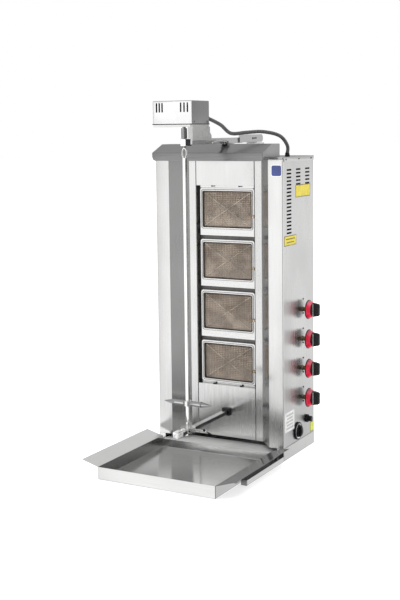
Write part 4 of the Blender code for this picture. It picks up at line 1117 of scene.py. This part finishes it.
def fittings():
    """Screws, edge strips and rail caps."""
    places = []
    for n in BURNER_NUMBERS:
        centre = middle("burner_tile_%d" % n)
        for side, axis in ((-CHANNEL_X, "X"), (CHANNEL_X, "-X")):
            for dz in (-0.049, 0.049):
                places.append(((side, FRONT + 0.06, centre.z + dz), axis))
    screws("burner_side_screws", "cabinet", places, 0.0038, height=0.0032)
    under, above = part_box("upper_panel")[0].z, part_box("lower_panel")[1].z
    first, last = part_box("burner_frame_1"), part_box("burner_frame_%d" % BURNER_NUMBERS[-1])
    bm = bmesh.new()
    for z0, z1 in ((first[1].z + 0.0004, under - 0.0002), (above + 0.0002, last[0].z - 0.0004)):
        if z1 - z0 > 0.0008:
            block(bm, (first[0].x + 0.001, first[0].y + 0.0006, z0),
                  (first[1].x - 0.001, first[0].y + 0.0018, z1), 0.0003, 1)
    piece("panel_edge_strips", bm, level_steel)
    screws("panel_edge_screws", "cabinet",
           [((x, FRONT + 0.059, z), axis) for x in (-0.05, 0.05)
            for z, axis in ((under, "-Z"), (above, "Z"))], 0.0038, height=0.0042)
    lid_low, lid_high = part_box("top_cover")
    z = (lid_low.z + lid_high.z) / 2.0
    places = [((x, y, z), axis) for x, axis in ((lid_high.x, "X"), (lid_low.x, "-X"))
              for y in (FRONT + 0.025, FRONT + 0.125, FRONT + 0.225)]
    screws("lid_screws", "cabinet", places, 0.0026, dull_steel)
    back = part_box("back_panel")[1].y
    places = [((x, back, z), "Y") for x in (-0.205, 0.0, 0.205) for z in (0.07, 0.5, 0.93)]
    screws("back_screws", "cabinet", places, 0.003, dull_steel)
    cover_low, cover_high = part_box("motor_cover")
    places = [((x, y, cover_low.z + 0.006), axis) for x, axis in ((cover_high.x, "X"), (cover_low.x, "-X"))
              for y in (cover_low.y + 0.014, cover_high.y - 0.014)]
    screws("motor_cover_screws", "motor_carriage", places, 0.0022, dull_steel)
    screws("carriage_screws", "pivot_carriage",
           [((0.0135, FRONT - 0.227, z), "X") for z in (0.1215, 0.1305)], 0.0026)
    for node in ("right_rail", "left_rail"):
        low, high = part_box(node)
        bm = new(block, (low.x + 0.0002, low.y - 0.0022, 0.0006), (high.x - 0.0002, low.y, high.z - 0.0002))
        for k in range(3):
            x = low.x + (high.x - low.x) * (k + 1.0) / 4.0
            block(bm, (x - 0.0011, low.y - 0.003, 0.0025), (x + 0.0011, low.y - 0.0018, high.z - 0.0025),
                  0.0004, 1)
        piece(node + "_cap", bm, rail_cap)


# ---- studio ----
def floor():
    bm = bmesh.new()
    bmesh.ops.create_circle(bm, cap_ends=True, segments=96, radius=40.0)
    mesh = bpy.data.meshes.new("floor")
    bm.to_mesh(mesh)
    bm.free()
    obj = bpy.data.objects.new("floor", mesh)
    obj.location.z = -0.0004
    scene.collection.objects.link(obj)
    mat, tree, shader = material("pale_floor", (0.9, 0.9, 0.9), 0.75)
    place = added(tree, "TexCoord", {}, "Object")
    reach = added(tree, "VectorMath", {0: place}, "Value", operation="LENGTH")
    # The floor glows to match the white backdrop; the glow is weaker within 0.6 m of the middle, so the
    # floor is darker round the grill: painted shade.
    feed(tree, shader, {
        "Base Color": ramp(tree, noise(tree, (3.0,) * 3, 2.0), ((0.35, (0.89,) * 3), (0.65, (0.91,) * 3))),
        "Emission Color": (1.0, 1.0, 1.0, 1.0),
        "Emission Strength": remap(tree, reach, 0.62, 1.0, 0.6, 2.5)})
    mesh.materials.append(mat)
    obj.visible_glossy = False


# Brightness of the surroundings by azimuth in degrees from +X: near the object's foot, in a dark
# line above it, on the ground further out, and above the horizon.
FOOT = ((-180, 0.3), (-150, 1.0), (-130, 1.45), (-95, 1.35), (-70, 0.4), (-50, 0.1), (0, 0.12),
        (30, 0.45), (50, 0.8), (85, 0.85), (120, 0.7), (150, 0.25), (180, 0.3))
EDGE = ((-180, 0.3), (-150, 0.6), (-130, 0.8), (-121.5, 0.7), (-117.5, 0.1), (-95, 0.1), (-50, 0.1),
        (0, 0.12), (30, 0.5), (50, 0.98), (85, 1.0), (120, 0.7), (150, 0.25), (180, 0.3))
GROUND = ((-180, 0.5), (-150, 0.4), (-136, 0.6), (-128, 1.42), (-106, 1.52), (-92, 0.78),
          (-75, 0.34), (-50, 0.31), (-34, 0.54), (-10, 0.58), (25, 0.85), (45, 1.1), (80, 1.12),
          (120, 0.6), (180, 0.5))
WALLS = ((-180, 0.45), (-150, 0.4), (-136, 0.6), (-128, 1.44), (-104, 1.52), (-92, 0.62), (-75, 0.22),
         (-50, 0.22), (-34, 0.45), (-10, 0.4), (25, 0.46), (61, 0.6), (95, 0.5), (120, 0.26), (150, 0.24))
CEILING, OVERHEAD = 0.62, (0.2, 0.34)
# Each ring above the foot, with the heights (Z of the direction) over which it takes over.
LAYERS = ((EDGE, -0.252, -0.243), (GROUND, -0.236, -0.226), (WALLS, -0.03, 0.02))


def ring_of_light(tree, around, stops):
    """Brightness by azimuth."""
    return ramp(tree, around, [((degrees + 180.0) / 360.0, (tone,) * 3) for degrees, tone in stops], "EASE")


def world():
    """A soft studio: a wide white wall to the front left, greyer walls elsewhere, a pale ground."""
    sky = bpy.data.worlds.new("studio")
    scene.world = sky
    sky.use_nodes = True
    tree = sky.node_tree
    place = added(tree, "TexCoord", {}, "Generated")
    direction = added(tree, "SeparateXYZ", {"Vector": place}, None).outputs
    azimuth = added(tree, "Math", {0: direction["Y"], 1: direction["X"]}, operation="ARCTAN2")
    around = remap(tree, azimuth, 0.0, 1.0, -pi, pi)
    seen = ring_of_light(tree, around, FOOT)
    for stops, start, end in LAYERS:
        above = remap(tree, direction["Z"], 0.0, 1.0, start, end)
        seen = mixed(tree, above, seen, ring_of_light(tree, around, stops))
    overhead = remap(tree, direction["Z"], 0.0, 1.0, *OVERHEAD)
    seen = mixed(tree, overhead, seen, (CEILING, CEILING, CEILING, 1.0))
    backdrop = added(tree, "LightPath", {}, "Is Camera Ray")
    feed(tree, tree.nodes["Background"], {"Color": mixed(tree, backdrop, seen, (1.0, 1.0, 1.0, 1.0))})


def light(name, place, target, size, power):
    data = bpy.data.lights.new(name, "AREA")
    data.shape = "RECTANGLE"
    data.size, data.size_y = size
    data.energy = power
    obj = bpy.data.objects.new(name, data)
    obj.location = place
    obj.visible_glossy = False
    obj.rotation_euler = (Vector(target) - Vector(place)).to_track_quat("-Z", "Y").to_euler()
    scene.collection.objects.link(obj)


def camera():
    data = bpy.data.cameras.new("camera")
    data.sensor_fit = "VERTICAL"
    data.sensor_height = 24.0
    data.lens = 43.84
    data.shift_y = -0.0833
    obj = bpy.data.objects.new("camera", data)
    heading, downwards, roll = radians(28.866), radians(6.262), radians(-0.693)
    turn = (Matrix.Rotation(heading, 4, "Z") @ Matrix.Rotation(radians(90.0) - downwards, 4, "X")
            @ Matrix.Rotation(roll, 4, "Z"))
    obj.matrix_world = Matrix.Translation((1.6515, -3.2401, 1.0611)) @ turn
    scene.collection.objects.link(obj)
    scene.camera = obj


for build in (carried_parts, folded_sheets, base_pan, lid, drip_tray, hood, motor_cover,
              side_panels, burners, gas_knobs, igniter, motor_switch, labels, skewer, meat_spike,
              lock_lever, clamp_screw, conduit, bearing_spacer, arm_cap, fittings, floor, world):
    build()
light("key", (-2.2, -2.6, 2.6), (0.0, 0.0, 0.5), (2.0, 2.0), 60.0)
light("top", (0.4, 0.2, 3.0), (0.0, 0.0, 0.5), (2.4, 2.4), 40.0)
camera()
scene.view_settings.view_transform = "Standard"

bpy.context.view_layer.update()
